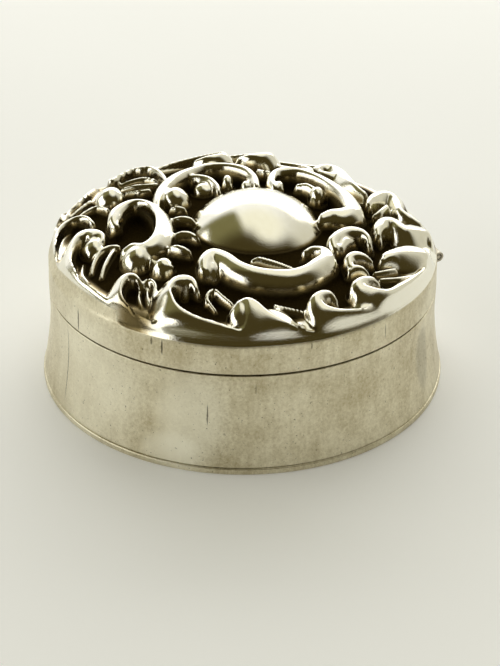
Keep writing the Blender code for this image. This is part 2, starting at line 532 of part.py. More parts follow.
class Boss:
    """The plain round boss in the middle: a cap of a ball, with a sharp foot."""

    def __init__(self):
        self.place = np.array(BOSS_PLACE_SHARES) * GRID_SQUARE
        rise = BOSS_RISE + BOSS_DROP
        self.ball = (BOSS_RADIUS ** 2 + rise ** 2) / (2 * rise)

    def lines(self):
        angles = np.linspace(0.0, FULL_TURN, BOSS_TURN_STEPS + 1)
        circle = np.stack((np.cos(angles), np.sin(angles)), axis=1)
        rings = [self.place + circle * BOSS_RADIUS * share for share in BOSS_RING_SHARES]
        return rings + [self.place[None, :]]

    def height(self, places, field, floor):
        distance = np.hypot(*(places - self.place).T)
        drop = self.ball - np.sqrt(self.ball ** 2 - np.minimum(distance, BOSS_RADIUS) ** 2)
        return np.where(distance <= BOSS_RADIUS, COVER_TOP + BOSS_RISE - drop, floor)


def relief_forms():
    forms = [Boss()]
    forms += [Wave(side, drawn_rows(points)) for side, points in WAVE_SHARES]
    forms += [Wave(1, rim_wave_rows(*place)) for place in RIM_WAVE_TURN_SHARES]
    forms += [Ridge(side, drawn_rows(points)) for side, points in SCROLL_SHARES]
    for points in LEAF_SHARES:
        leaf = [(across, away, width, width, rise) for across, away, width, rise in points]
        forms.append(Ridge(1, drawn_rows(leaf)))
    return forms + [Pearl(*form) for form in PEARL_SHARES]


def cover_plan(forms):
    """Triangles of the cover's plan, with edges along the crests and feet of its forms."""
    places, edges = [], []
    rings = [field_ring(share, steps) for share, steps in FIELD_RING_SHARES]
    for line in rings + [line for form in forms for line in form.lines()]:
        first = len(places)
        places += [Vector(kept_inside(place, 0.0)) for place in line]
        edges += [(first + step, first + step + 1) for step in range(len(line) - 1)]
    near = GRID_SQUARE * NEAR_SHARE
    corners, _, triangles, *_ = delaunay_2d_cdt(places, edges, [], 0, near)
    return np.array([tuple(corner) for corner in corners]), triangles


def field_ring(share, steps):
    angles = np.linspace(0.0, FULL_TURN, steps + 1)
    return COVER_RADIUS * share * np.stack((np.cos(angles), np.sin(angles)), axis=1)


def make_lid_top(material):
    """The stamped cover: one sheet pressed up over its whole plan, and its flat seat."""
    forms = relief_forms()
    plan, triangles = cover_plan(forms)
    distances = np.hypot(*plan.T)
    field = outline_height(distances, FIELD_SHARES)
    floor = outline_height(distances, FLOOR_SHARES)
    crests = np.max([form.height(plan, field, floor) for form in forms], axis=0)
    fade = np.clip((COVER_RADIUS - distances) / RIM_MARGIN, 0.0, 1.0)
    top = floor + (crests - floor) * fade
    bottom = np.maximum(top - COVER_THICKNESS, COVER_BOTTOM)
    builder = bmesh.new()
    upper = [builder.verts.new((x, y, z)) for (x, y), z in zip(plan, top)]
    lower = [builder.verts.new((x, y, z)) for (x, y), z in zip(plan, bottom)]
    for triangle in triangles:
        builder.faces.new([upper[corner] for corner in triangle])
        builder.faces.new([lower[corner] for corner in reversed(triangle)])
    pair = dict(zip(upper, lower))
    for edge in [edge for edge in builder.edges if edge.is_boundary]:
        first, second = edge.verts
        if first in pair:
            builder.faces.new((first, second, pair[second], pair[first]))
    cover = add_piece("lid_top", builder, material)
    cover.rotation_euler.z = PATTERN_TURN


def main():
    clear_scene()
    plain = silver("plain_silver", (0.62, 0.60, 0.54), 0.28)
    raised = silver("raised_silver", (0.66, 0.64, 0.58), 0.22)
    lining = silver("lining_silver", (0.68, 0.65, 0.57), 0.35)
    steel = silver("hinge_silver", (0.50, 0.48, 0.44), 0.35)
    make_base_plate(plain)
    make_body_wall(plain)
    make_inner_bezel(lining)
    make_lid_band(plain)
    make_lid_top(raised)
    for number in range(KNUCKLE_COUNT):
        rises = number % 2 == 1
        side = "lid" if rises else "body"
        make_knuckle(f"{side}_knuckle_{number // 2 + 1}", number, rises, steel)
    make_hinge_pin(steel)


main()
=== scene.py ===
import math

import bmesh
import bpy
import numpy as np
from mathutils import Matrix, Vector


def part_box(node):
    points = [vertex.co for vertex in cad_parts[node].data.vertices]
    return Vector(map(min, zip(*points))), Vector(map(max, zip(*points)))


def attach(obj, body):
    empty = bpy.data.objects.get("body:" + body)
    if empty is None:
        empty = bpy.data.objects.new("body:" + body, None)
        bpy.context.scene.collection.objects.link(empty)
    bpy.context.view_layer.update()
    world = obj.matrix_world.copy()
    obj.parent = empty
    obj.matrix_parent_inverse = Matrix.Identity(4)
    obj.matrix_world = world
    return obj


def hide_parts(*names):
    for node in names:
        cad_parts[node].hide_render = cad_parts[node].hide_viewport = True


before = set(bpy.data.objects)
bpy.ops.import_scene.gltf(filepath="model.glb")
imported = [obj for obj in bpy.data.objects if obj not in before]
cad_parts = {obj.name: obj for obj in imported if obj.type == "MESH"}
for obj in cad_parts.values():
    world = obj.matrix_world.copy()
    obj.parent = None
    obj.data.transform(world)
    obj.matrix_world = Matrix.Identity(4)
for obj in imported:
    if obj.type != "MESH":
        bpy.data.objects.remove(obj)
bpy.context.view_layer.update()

MM = 0.001
WALL_LOW, WALL_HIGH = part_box("body_wall")
BASE_LOW, BASE_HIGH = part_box("base_plate")
BAND_LOW, BAND_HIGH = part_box("lid_band")
RING_LOW, RING_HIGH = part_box("inner_bezel")
COVER_LOW, COVER_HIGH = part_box("lid_top")

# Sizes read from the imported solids
BASE_RADIUS = BASE_HIGH.x
COVER_SEAT = COVER_LOW.z
COVER_SUMMIT = COVER_HIGH.z
SEAM_BOTTOM = WALL_HIGH.z

# Sizes of the sheet and its ornament, which follow the solids
WAIST_RADIUS = 23.6 * MM
BAND_RADIUS = WAIST_RADIUS - 0.15 * MM
WALL_THICKNESS = 0.6 * MM
BAND_THICKNESS = 0.55 * MM
RING_THICKNESS = 0.45 * MM
SHEET_THICKNESS = 0.45 * MM
FLARE_TOP = 10.0 * MM
FLARE_POWER = 1.6
SHOULDER_POWER = 1.3
FIELD_RISE = 4.65 * MM
BOSS_RADIUS = 8.0 * MM
BOSS_PLACE = (1.5 * MM, -0.2 * MM)
BOSS_FOOT = 18.9 * MM
BOSS_FOOT_SLOPE = 1.6
GRID_SQUARE = BAND_RADIUS / 23.5
PATTERN_TURN = math.radians(67)

# Small radii of the turned edges, and the hole that a turned plate keeps, too small to see
WALL_EDGE = 0.10 * MM
BASE_EDGE = 0.22 * MM
RING_EDGE = 0.12 * MM
BAND_EDGE = 0.08 * MM
PLATE_HOLE = 0.02 * MM

# How finely the turned pieces are made, and which of their corners stay sharp
WALL_STOPS = 30
BAND_STOPS = 12
TURN_STEPS = 256
CORNER_STEPS = 4
LEAST_CORNER = math.radians(25)
SHARP_CORNER = math.radians(40)
WELD = 0.0005 * MM

# The eye that the cover is seen from: its place before the pattern's turn, the same place
# to the finer figure that the readings are carried over with, its tilt, and its roll
EYE = Vector((0.94, -151.4, 93.97)) * MM
READING_EYE = np.array((0.937, -151.424, 93.966)) * MM
EYE_TILT = 0.53792601
EYE_ROLL = 0.00754473

# The photograph's size and the eye's lens, in pixels, and the width of the film
PICTURE_WIDTH = 500
PICTURE_HEIGHT = 666
LENS_PIXELS = 1400
SENSOR = 36.0


# Small helpers

def smooth_step(share):
    """0 below 0, 1 above 1, and smooth between them."""
    share = np.clip(share, 0.0, 1.0)
    return share * share * (3.0 - 2.0 * share)


def finish_mesh(name, mesh, material, body, replaced):
    """Links a finished mesh, hangs it on the body it rides on, and hides the solids it stands for.
    """
    piece = bpy.data.objects.new(name, mesh)
    bpy.context.scene.collection.objects.link(piece)
    mesh.materials.clear()
    mesh.materials.append(material)
    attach(piece, body)
    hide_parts(*replaced)


# Shader maths

class Field:
    """A number, colour or place that varies over a surface; sums and products of numbers
    add Math nodes."""

    def __init__(self, tree, socket):
        self.tree = tree
        self.socket = socket

    def node(self, kind, settings=None, inputs=None, output=0):
        """Any node: its settings first, then the values or links of its sockets."""
        made = self.tree.nodes.new(kind)
        for name, value in (settings or {}).items():
            if name == "stops":
                ramp = made.color_ramp
                while len(ramp.elements) < len(value):
                    ramp.elements.new(0.5)
                for element, (place, colour) in zip(ramp.elements, value):
                    element.position = place
                    element.color = (*colour, 1.0)
            else:
                setattr(made, name, value)
        for name, value in (inputs or {}).items():
            socket = made.inputs[name]
            if isinstance(value, Field):
                self.tree.links.new(value.socket, socket)
            else:
                socket.default_value = value
        return Field(self.tree, made.outputs[output])

    def maths(self, operation, *others):
        values = {0: self, **{place + 1: other for place, other in enumerate(others)}}
        return self.node("ShaderNodeMath", {"operation": operation}, values)

    def __add__(self, other):
        return self.maths("ADD", other)

    def __sub__(self, other):
        return self.maths("SUBTRACT", other)

    def __rsub__(self, other):
        return self.node("ShaderNodeMath", {"operation": "SUBTRACT"}, {0: other, 1: self})

    def __mul__(self, other):
        return self.maths("MULTIPLY", other)

    def __truediv__(self, other):
        return self.maths("DIVIDE", other)

    __radd__ = __add__
    __rmul__ = __mul__

    def clipped(self):
        return self.node("ShaderNodeClamp", {}, {"Value": self})

    def between(self, low, high):
        """0 below low, 1 above high, and smooth between them."""
        return self.node("ShaderNodeMapRange", {"interpolation_type": "SMOOTHSTEP"},
                         {"Value": self, "From Min": low, "From Max": high})

    def mix(self, first, second):
        """A colour between two, with this number as the share of the second."""
        first, second = ((*side, 1.0) if isinstance(side, tuple) else side
                         for side in (first, second))
        return self.node("ShaderNodeMix", {"data_type": "RGBA"}, {0: self, 6: first, 7: second}, 2)

    def along(self, direction):
        """How far this place lies along a direction."""
        return self.node("ShaderNodeVectorMath", {"operation": "DOT_PRODUCT"},
                         {0: self, 1: direction}, 1)


class Finish:
    """One material: its tree, its shader, and the places on the object in millimetres."""

    def __init__(self, name, **settings):
        self.material = bpy.data.materials.new(name)
        self.material.use_nodes = True
        self.tree = self.material.node_tree
        self.shader = self.tree.nodes["Principled BSDF"]
        self.root = Field(self.tree, None)
        place = self.root.node("ShaderNodeTexCoord", output="Object")
        self.places = self.root.node("ShaderNodeVectorMath", {"operation": "SCALE"},
                                     {0: place, "Scale": 1 / MM})
        for socket, value in settings.items():
            self.shader.inputs[socket.replace("_", " ")].default_value = value

    def noise(self, scale, detail=2.0, rough=0.5, stretch=None):
        """Soft cloudy noise with so many features a millimetre."""
        places = self.places
        if stretch:
            places = self.root.node("ShaderNodeVectorMath", {"operation": "MULTIPLY"},
                                    {0: places, 1: stretch})
        return self.root.node("ShaderNodeTexNoise", {},
                              {"Vector": places, "Scale": scale, "Detail": detail,
                               "Roughness": rough})

    def attribute(self, name):
        return self.root.node("ShaderNodeAttribute", {"attribute_name": name}, {}, 2)

    def set(self, socket, value):
        self.tree.links.new(value.socket, self.shader.inputs[socket])

    def bump(self, height, distance):
        self.set("Normal", self.root.node("ShaderNodeBump", {},
                                          {"Height": height, "Distance": distance}))


# Raised ornament of the cover. Each row starts with a place read off the photograph,
# in pixels across and down. Its place on the cover is worked out on a level plane, on a grid
# of 23.5 squares from the centre to the rim. Each stroke has the side of its hollow, 1 for
# the left as it runs, and rows of (across, down, width towards the hollow, width of the
# back, rise over the field), the last three in squares.

DRAWING_PLANE = 20.0 * MM

WAVES = (
    # waves along the rim: left, from the thin outer curl round to the front
    (1, ((92, 221, 0.3, 0.4, 0.7), (86, 216, 0.35, 0.5, 0.9), (77, 215.5, 0.4, 0.6, 1),
     (67, 220, 0.4, 0.7, 1.1), (58, 229, 0.4, 0.7, 1.1), (54, 241, 0.4, 0.6, 1),
     (53, 255, 0.4, 0.5, 0.7), (56, 270, 0.3, 0.4, 0.3))),
    (1, ((103, 238, 0.6, 0.4, 0.8), (101, 232, 1.3, 0.5, 1.1), (94, 229, 1.9, 0.6, 1.3),
     (84, 230, 1.5, 0.7, 1.4), (76, 236, 0.6, 1, 1.45), (71, 246, 0.3, 1.4, 1.4),
     (70, 257, 0.3, 1.6, 1.35), (73, 268, 0.3, 1.7, 1.3), (80, 279, 0.3, 1.8, 1.2),
     (91, 288, 0.35, 1.8, 1.1), (103, 297, 0.4, 1.8, 0.9), (116, 308, 0.4, 1.7, 0.7),
     (132, 319, 0.4, 1.5, 0.4), (152, 328, 0.3, 1.2, 0.2))),
    (1, ((139, 278, 0.2, 0.3, 0.8), (134, 273.5, 0.35, 0.6, 1.15), (127, 274, 0.4, 1, 1.35),
     (122, 280, 0.3, 1.5, 1.45), (120, 288, 0.3, 1.8, 1.45), (121, 296, 0.3, 2.1, 1.4),
     (126, 304, 0.3, 2.5, 1.3), (134, 312, 0.3, 2.7, 1.1), (145, 319, 0.3, 2.4, 0.8),
     (160, 326, 0.3, 1.9, 0.5), (180, 332, 0.3, 1.3, 0.25))),
    (1, ((196, 286, 0.4, 0.4, 0.8), (192, 278, 0.9, 0.6, 1.15), (184, 275, 1.1, 0.9, 1.4),
     (175, 278, 0.7, 1.4, 1.5), (170, 286, 0.3, 1.8, 1.5), (171, 295, 0.3, 2.1, 1.45),
     (176, 303, 0.3, 2.6, 1.35), (185, 310, 0.3, 3, 1.2), (198, 316, 0.3, 3, 1),
     (214, 321.5, 0.3, 2.6, 0.75), (233, 328, 0.3, 2, 0.5), (255, 336, 0.3, 1.4, 0.25))),
    # front and right
    (1, ((241, 301, 0.7, 1.4, 1.1), (248, 298, 0.6, 1.9, 1.4), (257, 302, 0.4, 2.4, 1.4),
     (265, 308.5, 0.35, 3, 1.3), (275, 315, 0.3, 3.3, 1.2), (287, 322, 0.3, 3.2, 1),
     (300, 327.5, 0.3, 2.6, 0.8), (316, 331.5, 0.3, 2, 0.5), (335, 332, 0.3, 1.4, 0.25),
     (352, 328, 0.3, 1, 0.1))),
    (1, ((335, 297.5, 0.3, 0.4, 0.9), (331, 291.5, 0.6, 0.6, 1.25), (323, 290.5, 0.8, 0.9, 1.4),
     (318, 296, 0.6, 1.3, 1.4), (324, 304, 0.6, 1.7, 1.3), (333, 309.5, 0.8, 2, 1.2),
     (345, 313.5, 1, 2, 1.1), (358, 315, 1, 1.9, 1), (372, 313, 0.7, 1.6, 0.85),
     (388, 311, 0.5, 1.2, 0.6), (402, 306.5, 0.35, 0.9, 0.35), (414, 300, 0.3, 0.6, 0.15))),
    (1, ((378, 281.5, 0.3, 0.4, 0.9), (373, 277, 0.6, 0.6, 1.25), (364, 277, 0.8, 0.9, 1.4),
     (360, 282, 0.6, 1.3, 1.35), (369, 286, 0.6, 1.6, 1.3), (382, 290.5, 0.8, 1.8, 1.25),
     (395, 294, 1.2, 1.8, 1.2), (408, 293, 1.5, 1.5, 1.1), (420, 287, 1.3, 1.2, 0.85),
     (430, 279, 0.9, 0.9, 0.55), (437, 270, 0.5, 0.6, 0.3))),
    (1, ((385, 258.5, 0.8, 0.3, 0.8), (389, 254, 1.4, 0.6, 1.15), (400, 252, 2.1, 0.9, 1.3),
     (412, 251, 2.4, 1.1, 1.3), (424, 252, 2.2, 1.2, 1.15), (432, 258, 1.4, 1, 0.85),
     (436, 266, 0.8, 0.7, 0.5))),
    (1, ((380, 233, 0.7, 0.3, 0.8), (380, 226, 1.1, 0.5, 1.15), (385, 220.5, 1.6, 0.6, 1.35),
     (392, 219.5, 2, 0.7, 1.4), (399, 225, 2.2, 0.8, 1.35), (408, 228.5, 2.4, 0.9, 1.25),
     (418, 229, 2.2, 1, 1.1), (427, 231, 1.5, 1, 0.9), (432, 239, 0.8, 0.9, 0.6))),
    (1, ((369, 202, 0.4, 0.3, 0.8), (373, 196.5, 0.9, 0.5, 1.1), (381, 192.5, 1.6, 0.8, 1.3),
     (389, 192, 1.9, 0.9, 1.35), (395, 197, 1.6, 0.9, 1.2), (400, 207, 0.6, 0.8, 1),
     (409, 214, 0.5, 0.8, 0.8), (420, 222, 0.4, 0.6, 0.4))),
    # back rim, where little shows
    (1, ((314, 167, 0.25, 0.5, 0.9), (322, 164, 0.35, 1, 1.1), (332, 164.5, 0.4, 1.4, 1.2),
     (342, 169, 0.4, 1.5, 1.2), (350, 177, 0.4, 1.3, 1), (357, 185, 0.3, 0.9, 0.7),
     (366, 192, 0.3, 0.6, 0.4))),
    (-1, ((104, 184, 0.25, 0.4, 0.8), (110, 179.5, 0.3, 0.5, 1.2), (118, 174.5, 0.3, 0.5, 1.35),
     (126, 170.5, 0.3, 0.5, 1.4), (134, 167.5, 0.3, 0.5, 1.4), (142, 166, 0.3, 0.5, 1.4),
     (150, 165.5, 0.3, 0.5, 1.35), (157, 168, 0.3, 0.5, 1.2), (163, 174, 0.25, 0.4, 0.9),
     (166, 180, 0.2, 0.3, 0.6))),
    (1, ((98, 185, 0.25, 0.4, 1), (92, 187.5, 0.3, 0.5, 1.3), (84, 191, 0.3, 0.6, 1.35),
     (76, 197, 0.3, 0.6, 1.35), (68, 204, 0.3, 0.6, 1.35), (60, 214, 0.3, 0.6, 1.35),
     (54, 227, 0.3, 0.6, 1.3), (51, 241, 0.3, 0.6, 1), (51, 254, 0.3, 0.5, 0.6))),
)

SCROLLS = (
    # scrolls round the boss: front, from the left bulb to the right one
    (1, ((205, 265, 0.9, 0.9, 1), (205, 256, 1.1, 1.1, 1.3), (213, 250, 1.3, 1.4, 1.4),
     (225, 253.5, 1.2, 1.5, 1.4), (239, 261.5, 0.9, 1.5, 1.4), (255, 267, 0.7, 1.5, 1.4),
     (272, 269.5, 0.65, 1.4, 1.4), (290, 269.5, 0.65, 1.4, 1.4), (306, 266, 0.8, 1.3, 1.4),
     (318, 259.5, 1.2, 1.3, 1.4), (328, 253, 1.4, 1.1, 1.4), (323, 247, 1, 0.8, 1.3),
     (312, 246.5, 0.5, 0.5, 1.1), (305, 250.5, 0.3, 0.4, 0.8))),
    # left
    (-1, ((113, 223, 1, 0.4, 0.8), (111, 216, 1.5, 0.5, 1.2), (114, 209, 1.6, 0.6, 1.45),
     (122, 203, 1.1, 0.6, 1.6), (133, 199.5, 0.5, 0.7, 1.65), (143, 200, 0.35, 0.9, 1.65),
     (151, 204, 0.35, 1.3, 1.65), (156, 211, 0.35, 1.7, 1.65), (157.5, 221, 0.35, 2.1, 1.65),
     (155.5, 231, 0.4, 2.1, 1.6), (150, 238.5, 0.45, 1.6, 1.5), (142, 243, 0.5, 1.1, 1.35),
     (132, 243.5, 0.6, 0.9, 1.25), (125, 248, 0.5, 0.7, 0.9))),
    # back left, with the small arch inside it
    (1, ((256, 183, 0.5, 0.5, 0.8), (254, 174, 0.9, 0.6, 1.2), (246, 167, 1, 0.7, 1.5),
     (234, 163.5, 0.7, 0.7, 1.6), (220, 162.5, 0.5, 0.7, 1.6), (206, 163.5, 0.5, 0.7, 1.6),
     (192, 167, 0.8, 0.8, 1.6), (179, 172, 1, 0.9, 1.6), (168, 179, 1, 0.9, 1.55),
     (160, 188, 0.8, 0.8, 1.4), (157, 198, 0.5, 0.6, 1.1), (158, 206, 0.3, 0.4, 0.7))),
    (-1, ((180, 178, 0.25, 0.4, 0.7), (189, 175, 0.35, 0.6, 1), (200, 174.5, 0.4, 0.8, 1.1),
     (209, 177, 0.4, 0.8, 1), (216, 183, 0.35, 0.6, 0.8), (218, 189, 0.25, 0.4, 0.5))),
    # right
    (-1, ((275, 184, 0.6, 0.5, 0.9), (271, 176.5, 0.7, 0.6, 1.2), (275, 170, 0.8, 0.7, 1.45),
     (285, 167, 0.9, 0.8, 1.6), (298, 167.5, 0.8, 0.8, 1.65), (312, 171.5, 0.8, 0.9, 1.65),
     (326, 178, 0.9, 1, 1.65), (340, 187, 1.1, 1.1, 1.65), (350, 196, 1.4, 1.1, 1.6),
     (352, 205, 1.3, 1.6, 1.5), (343, 208.5, 0.9, 1.7, 1.35), (331, 209.5, 0.6, 1.5, 1.2),
     (322, 213.5, 0.35, 1, 0.9))),
    # small scroll and leaves at the right
    (-1, ((335, 245, 0.6, 0.6, 0.8), (333, 236, 0.8, 0.7, 1.25), (341, 229.5, 1, 0.8, 1.4),
     (351, 227, 1, 0.9, 1.45), (361, 229, 0.7, 0.8, 1.4), (368, 235, 0.4, 0.5, 1.2),
     (369, 242, 0.3, 0.4, 0.8))),
    (-1, ((350, 262, 0.7, 0.6, 0.8), (350, 254.5, 0.8, 0.7, 1.1), (357, 251.5, 0.8, 0.7, 1.2),
     (365, 254, 0.5, 0.5, 1.1), (371, 259, 0.25, 0.3, 0.8))),
    (-1, ((350, 269, 0.5, 0.4, 0.5), (355, 265, 0.6, 0.5, 0.8), (362, 266.5, 0.4, 0.4, 0.8),
     (367, 271, 0.2, 0.3, 0.5))),
)

RIBS = (
    # fingers between the left scroll and the boss
    ((171, 207.5, 0.3, 0.5), (178, 205.5, 0.45, 0.8), (185, 206.5, 0.2, 0.6)),
    ((171, 218, 0.3, 0.5), (180, 216, 0.55, 0.8), (189, 216.5, 0.5, 0.8), (194, 219, 0.2, 0.5)),
    ((174, 234, 0.3, 0.5), (182, 231, 0.6, 0.85), (190, 231.5, 0.55, 0.8), (198, 236, 0.2, 0.5)),
    ((169, 246, 0.3, 0.5), (177, 244.5, 0.6, 0.85), (185, 247, 0.5, 0.75), (190, 250, 0.2, 0.5)),
    # leaves and ribs in the hollows
    ((83, 263, 0.2, -0.5), (82, 273, 0.4, -0.2), (87, 282, 0.3, -0.3)),
    ((91, 272, 0.3, -0.2), (93, 261, 0.35, 0.1), (99, 250, 0.35, 0.3), (109, 245, 0.4, 0.3),
     (119, 244.5, 0.4, 0.2)),
    ((101, 276, 0.3, -0.3), (104, 264, 0.4, 0), (110, 253, 0.4, 0.1), (115, 247, 0.3, 0)),
    ((142, 285, 0.3, 0.1), (145, 279.5, 0.35, 0.3), (151, 278.5, 0.4, 0.4), (155, 284, 0.35, 0.3),
     (154, 295, 0.35, 0.1), (152, 308, 0.3, -0.1)),
    ((139, 287, 0.2, -0.4), (139, 297, 0.3, -0.3), (142, 307, 0.2, -0.4)),
    ((148, 285, 0.2, -0.4), (147, 295, 0.3, -0.3), (149, 305, 0.2, -0.4)),
    ((206, 300.1, 0.25, 0), (208, 292, 0.3, 0.3), (214, 288, 0.35, 0.4), (222, 294, 0.3, 0.3),
     (232, 302, 0.25, 0.1)),
    ((208, 292, 0.2, 0), (209, 300, 0.25, 0), (216, 309, 0.2, -0.2)),
    ((274, 304, 0.2, 0), (284, 313, 0.28, 0.2), (293, 320.5, 0.28, 0.2), (304, 325.5, 0.2, 0)),
    ((275, 303.5, 0.2, 0.1), (288, 307, 0.3, 0.1), (305, 310.5, 0.2, 0)),
    ((252, 259, 0.3, 0.5), (258, 256.5, 0.45, 0.8), (267, 258, 0.5, 0.8), (281, 262.5, 0.4, 0.6),
     (293, 266.5, 0.3, 0.4)),
    ((374, 271.5, 0.2, 0.3), (385, 269.5, 0.3, 0.5), (396, 267.5, 0.25, 0.5)),
    ((380, 277.5, 0.2, 0.3), (400, 276.5, 0.3, 0.5), (421, 273.5, 0.25, 0.4)),
    ((374, 214, 0.3, 0.3), (381, 209, 0.45, 0.8), (387, 204, 0.4, 0.9)),
    ((354, 239, 0.4, 0.6), (346, 237.5, 0.7, 1), (341, 245, 0.5, 0.7)),
    ((150, 257, 0.25, 0.3), (160, 262.5, 0.35, 0.5), (172, 264, 0.25, 0.4)),
    ((298, 183.5, 0.5, 0.9), (306, 183, 0.8, 1.2), (313, 186, 0.8, 1.2)),
    ((258, 168, 0.2, 0.6), (264, 169.5, 0.25, 0.8), (270, 170, 0.2, 0.7)),
    ((62, 222, 0.2, 0.3), (70, 209, 0.3, 0.7), (80, 199.5, 0.3, 0.9), (92, 191.1, 0.25, 0.8)),
    ((70, 216, 0.2, 0.1), (80, 206.5, 0.3, 0.4), (90, 199, 0.25, 0.4)),
    ((75, 218, 0.2, 0), (86, 209.5, 0.25, 0.2), (97, 205, 0.25, 0.3), (108, 207.5, 0.2, 0.2)),
    ((112, 183, 0.2, 0.2), (124, 175.5, 0.3, 0.6), (138, 170.5, 0.3, 0.8), (150, 170.5, 0.3, 0.7),
     (158, 175, 0.2, 0.4)),
    ((118, 185, 0.2, 0.1), (130, 179.5, 0.3, 0.4), (144, 176.5, 0.3, 0.5),
     (156, 178.5, 0.2, 0.3)),
    ((121, 188, 0.2, 0), (134, 184.5, 0.3, 0.3), (148, 183, 0.3, 0.3), (158, 182, 0.2, 0.2)),
    ((126, 191, 0.2, 0), (140, 189.5, 0.25, 0.2), (150, 188, 0.2, 0.2)),
)

# Balls and swellings: across, down, half length across, half length away, rise
PEARLS = (
    (93, 240, 1.6, 1.8, 1), (136, 248, 2, 2.1, 1.25), (163, 259, 1.5, 1.5, 0.7),
    (175, 188, 2, 2.1, 1.5), (227, 175, 1, 1.6, 0.9), (246, 181, 0.9, 1.3, 0.6),
    (204, 183, 1.7, 1.7, 0.5), (279, 181, 0.9, 1.4, 1), (109, 188, 2.1, 2.2, 1.5),
    (318, 187, 1.25, 1.6, 1.35), (242, 305, 1.7, 1.9, 1.1), (268, 318, 3.3, 2.7, 0.95),
    (320, 306, 1.2, 1.7, 0.7), (372, 298, 2.3, 2.2, 0.5), (209, 262, 1.6, 1.7, 0.9),
    (184, 286, 0.9, 1.1, 0.3),
)

# Waves along the back rim, all from one drawing: degrees round from its head, share of the
# cover's radius, widths in squares, and share of the rise. They stand at these degrees
# round the cover, each with its rise in squares.
RIM_WAVE = ((8, .79, .3, .4, .6), (4, .765, .5, .6, .9), (-1, .77, .5, .8, 1.0),
            (-4, .80, .4, 1.0, 1.0), (-4, .845, .35, 1.1, .95), (0, .885, .35, 1.1, .8),
            (6, .915, .35, 1.0, .6), (13, .94, .3, .8, .4), (20, .96, .25, .6, .2))
RIM_WAVE_PLACES = ((54, .6), (68, .2), (84, 1.6), (102, 1.6))

# Outline of the cover from its middle to its rim, in shares of its radius and its rise.
# The field is the level that the forms are raised from, and the floor lies between them.
FIELD_SHARES = ((0.0, 1.0), (0.16, 1.0), (0.30, 0.989), (0.426, 0.957), (0.533, 0.914),
                (0.64, 0.849), (0.746, 0.753), (0.853, 0.634), (0.938, 0.47),
                (0.968, 0.37), (0.989, 0.21), (1.0, 0.0645))
FLOOR_SHARES = ((0.0, 0.763), (0.30, 0.763), (0.384, 0.72), (0.554, 0.613), (0.725, 0.484),
                (0.853, 0.41), (0.92, 0.385), (0.945, 0.345), (0.965, 0.275), (0.985, 0.16),
                (1.0, 0.0645))

# Painted shade on the sloping rim at the front left: degrees round, spread, and depth
RIM_PAINTED_SHADE_TURN, RIM_PAINTED_SHADE_SPREAD, RIM_PAINTED_SHADE = -121.0, 12.0, 0.58

# Share of the radius where the sloping rim begins, and how far inside it the lines stay
RIM_SHARE = 0.86
RIM_MARGIN = 0.3 * MM

# How finely the drawn lines are worked out, and the room kept round a form's widest row
SEARCH_ROUNDS = 24
CURVE_STOPS = 13
STROKE_FINENESS = 7
RIB_FINENESS = 24
FORM_MARGIN = 1.2 * MM

# How the forms join the sheet: fillets, where the tarnish and painted shade stops, and how the rim
# runs out
FORM_FILLET = 0.15 * MM
BOSS_FILLET = 0.10 * MM
TARNISH_AND_SHADE_STOP = 0.12 * MM
BOSS_TARNISH_AND_SHADE_STOP = 0.70 * MM
RIM_RUN = 0.85 * MM

# Charts of the cover's heights, and the squares across its face and its hollow back
CHART_STEP = 0.09 * MM
CHART_REACH = BAND_RADIUS + 0.2 * MM
FACE_SOFTNESS = 0.11 * MM
BACK_SOFTNESS = 0.20 * MM
BACK_ROUNDS = 3
FACE_SQUARES = 272
BACK_SQUARES = 136
SHARP_FOLD = math.radians(75)

# Edge of the sheet, lapped over the band: how far down, and how far past the band
EDGE_RINGS = ((0.0, 0.02 * MM), (0.4 * MM, 0.02 * MM), (0.8 * MM, -0.03 * MM))

# Satin ring at the left of the rim: where it begins, in shares of the radius
SATIN_LEFT, SATIN_LEFT_BLEND = 0.52, 0.12
SATIN_RING, SATIN_RING_BLEND = 0.968, 0.012


def outline_height(distance, outline_shares):
    """Height of the cover's field or floor at distances from its centre."""
    shares = [share for share, _ in outline_shares]
    climbs = [climb for _, climb in outline_shares]
    return COVER_SEAT + FIELD_RISE * np.interp(distance / BAND_RADIUS, shares, climbs)


def eye_axes():
    """The eye's own right, up and forward."""
    forward = np.array((0.0, math.cos(EYE_TILT), -math.sin(EYE_TILT)))
    up = np.array((0.0, math.sin(EYE_TILT), math.cos(EYE_TILT)))
    right = np.array((1.0, 0.0, 0.0))
    return (math.cos(EYE_ROLL) * right + math.sin(EYE_ROLL) * up,
            math.cos(EYE_ROLL) * up - math.sin(EYE_ROLL) * right, forward)


def drawn_place(across, down):
    """Where a reading's line of sight meets the drawing plane, to a tenth of a square."""
    right, up, forward = eye_axes()
    sight = (forward + right * (across - PICTURE_WIDTH / 2) / LENS_PIXELS
             - up * (down - PICTURE_HEIGHT / 2) / LENS_PIXELS)
    place = READING_EYE + sight * (DRAWING_PLANE - READING_EYE[2]) / sight[2]
    return np.round(place[:2] / GRID_SQUARE, 1)


def placed(across, down, rise):
    """Place on the cover of a reading, at the height of its own rise over the field."""
    drawn = drawn_place(across, down) * GRID_SQUARE
    eye = np.array(EYE.xy)
    low, high = COVER_SEAT, COVER_SUMMIT
    for _ in range(SEARCH_ROUNDS):
        middle = (low + high) / 2
        place = eye + (drawn - eye) * (EYE.z - middle) / (EYE.z - DRAWING_PLANE)
        if outline_height(np.hypot(*place), FIELD_SHARES) + rise > middle:
            low = middle
        else:
            high = middle
    limit = BAND_RADIUS - RIM_MARGIN
    return place * min(1.0, limit / np.hypot(*place))


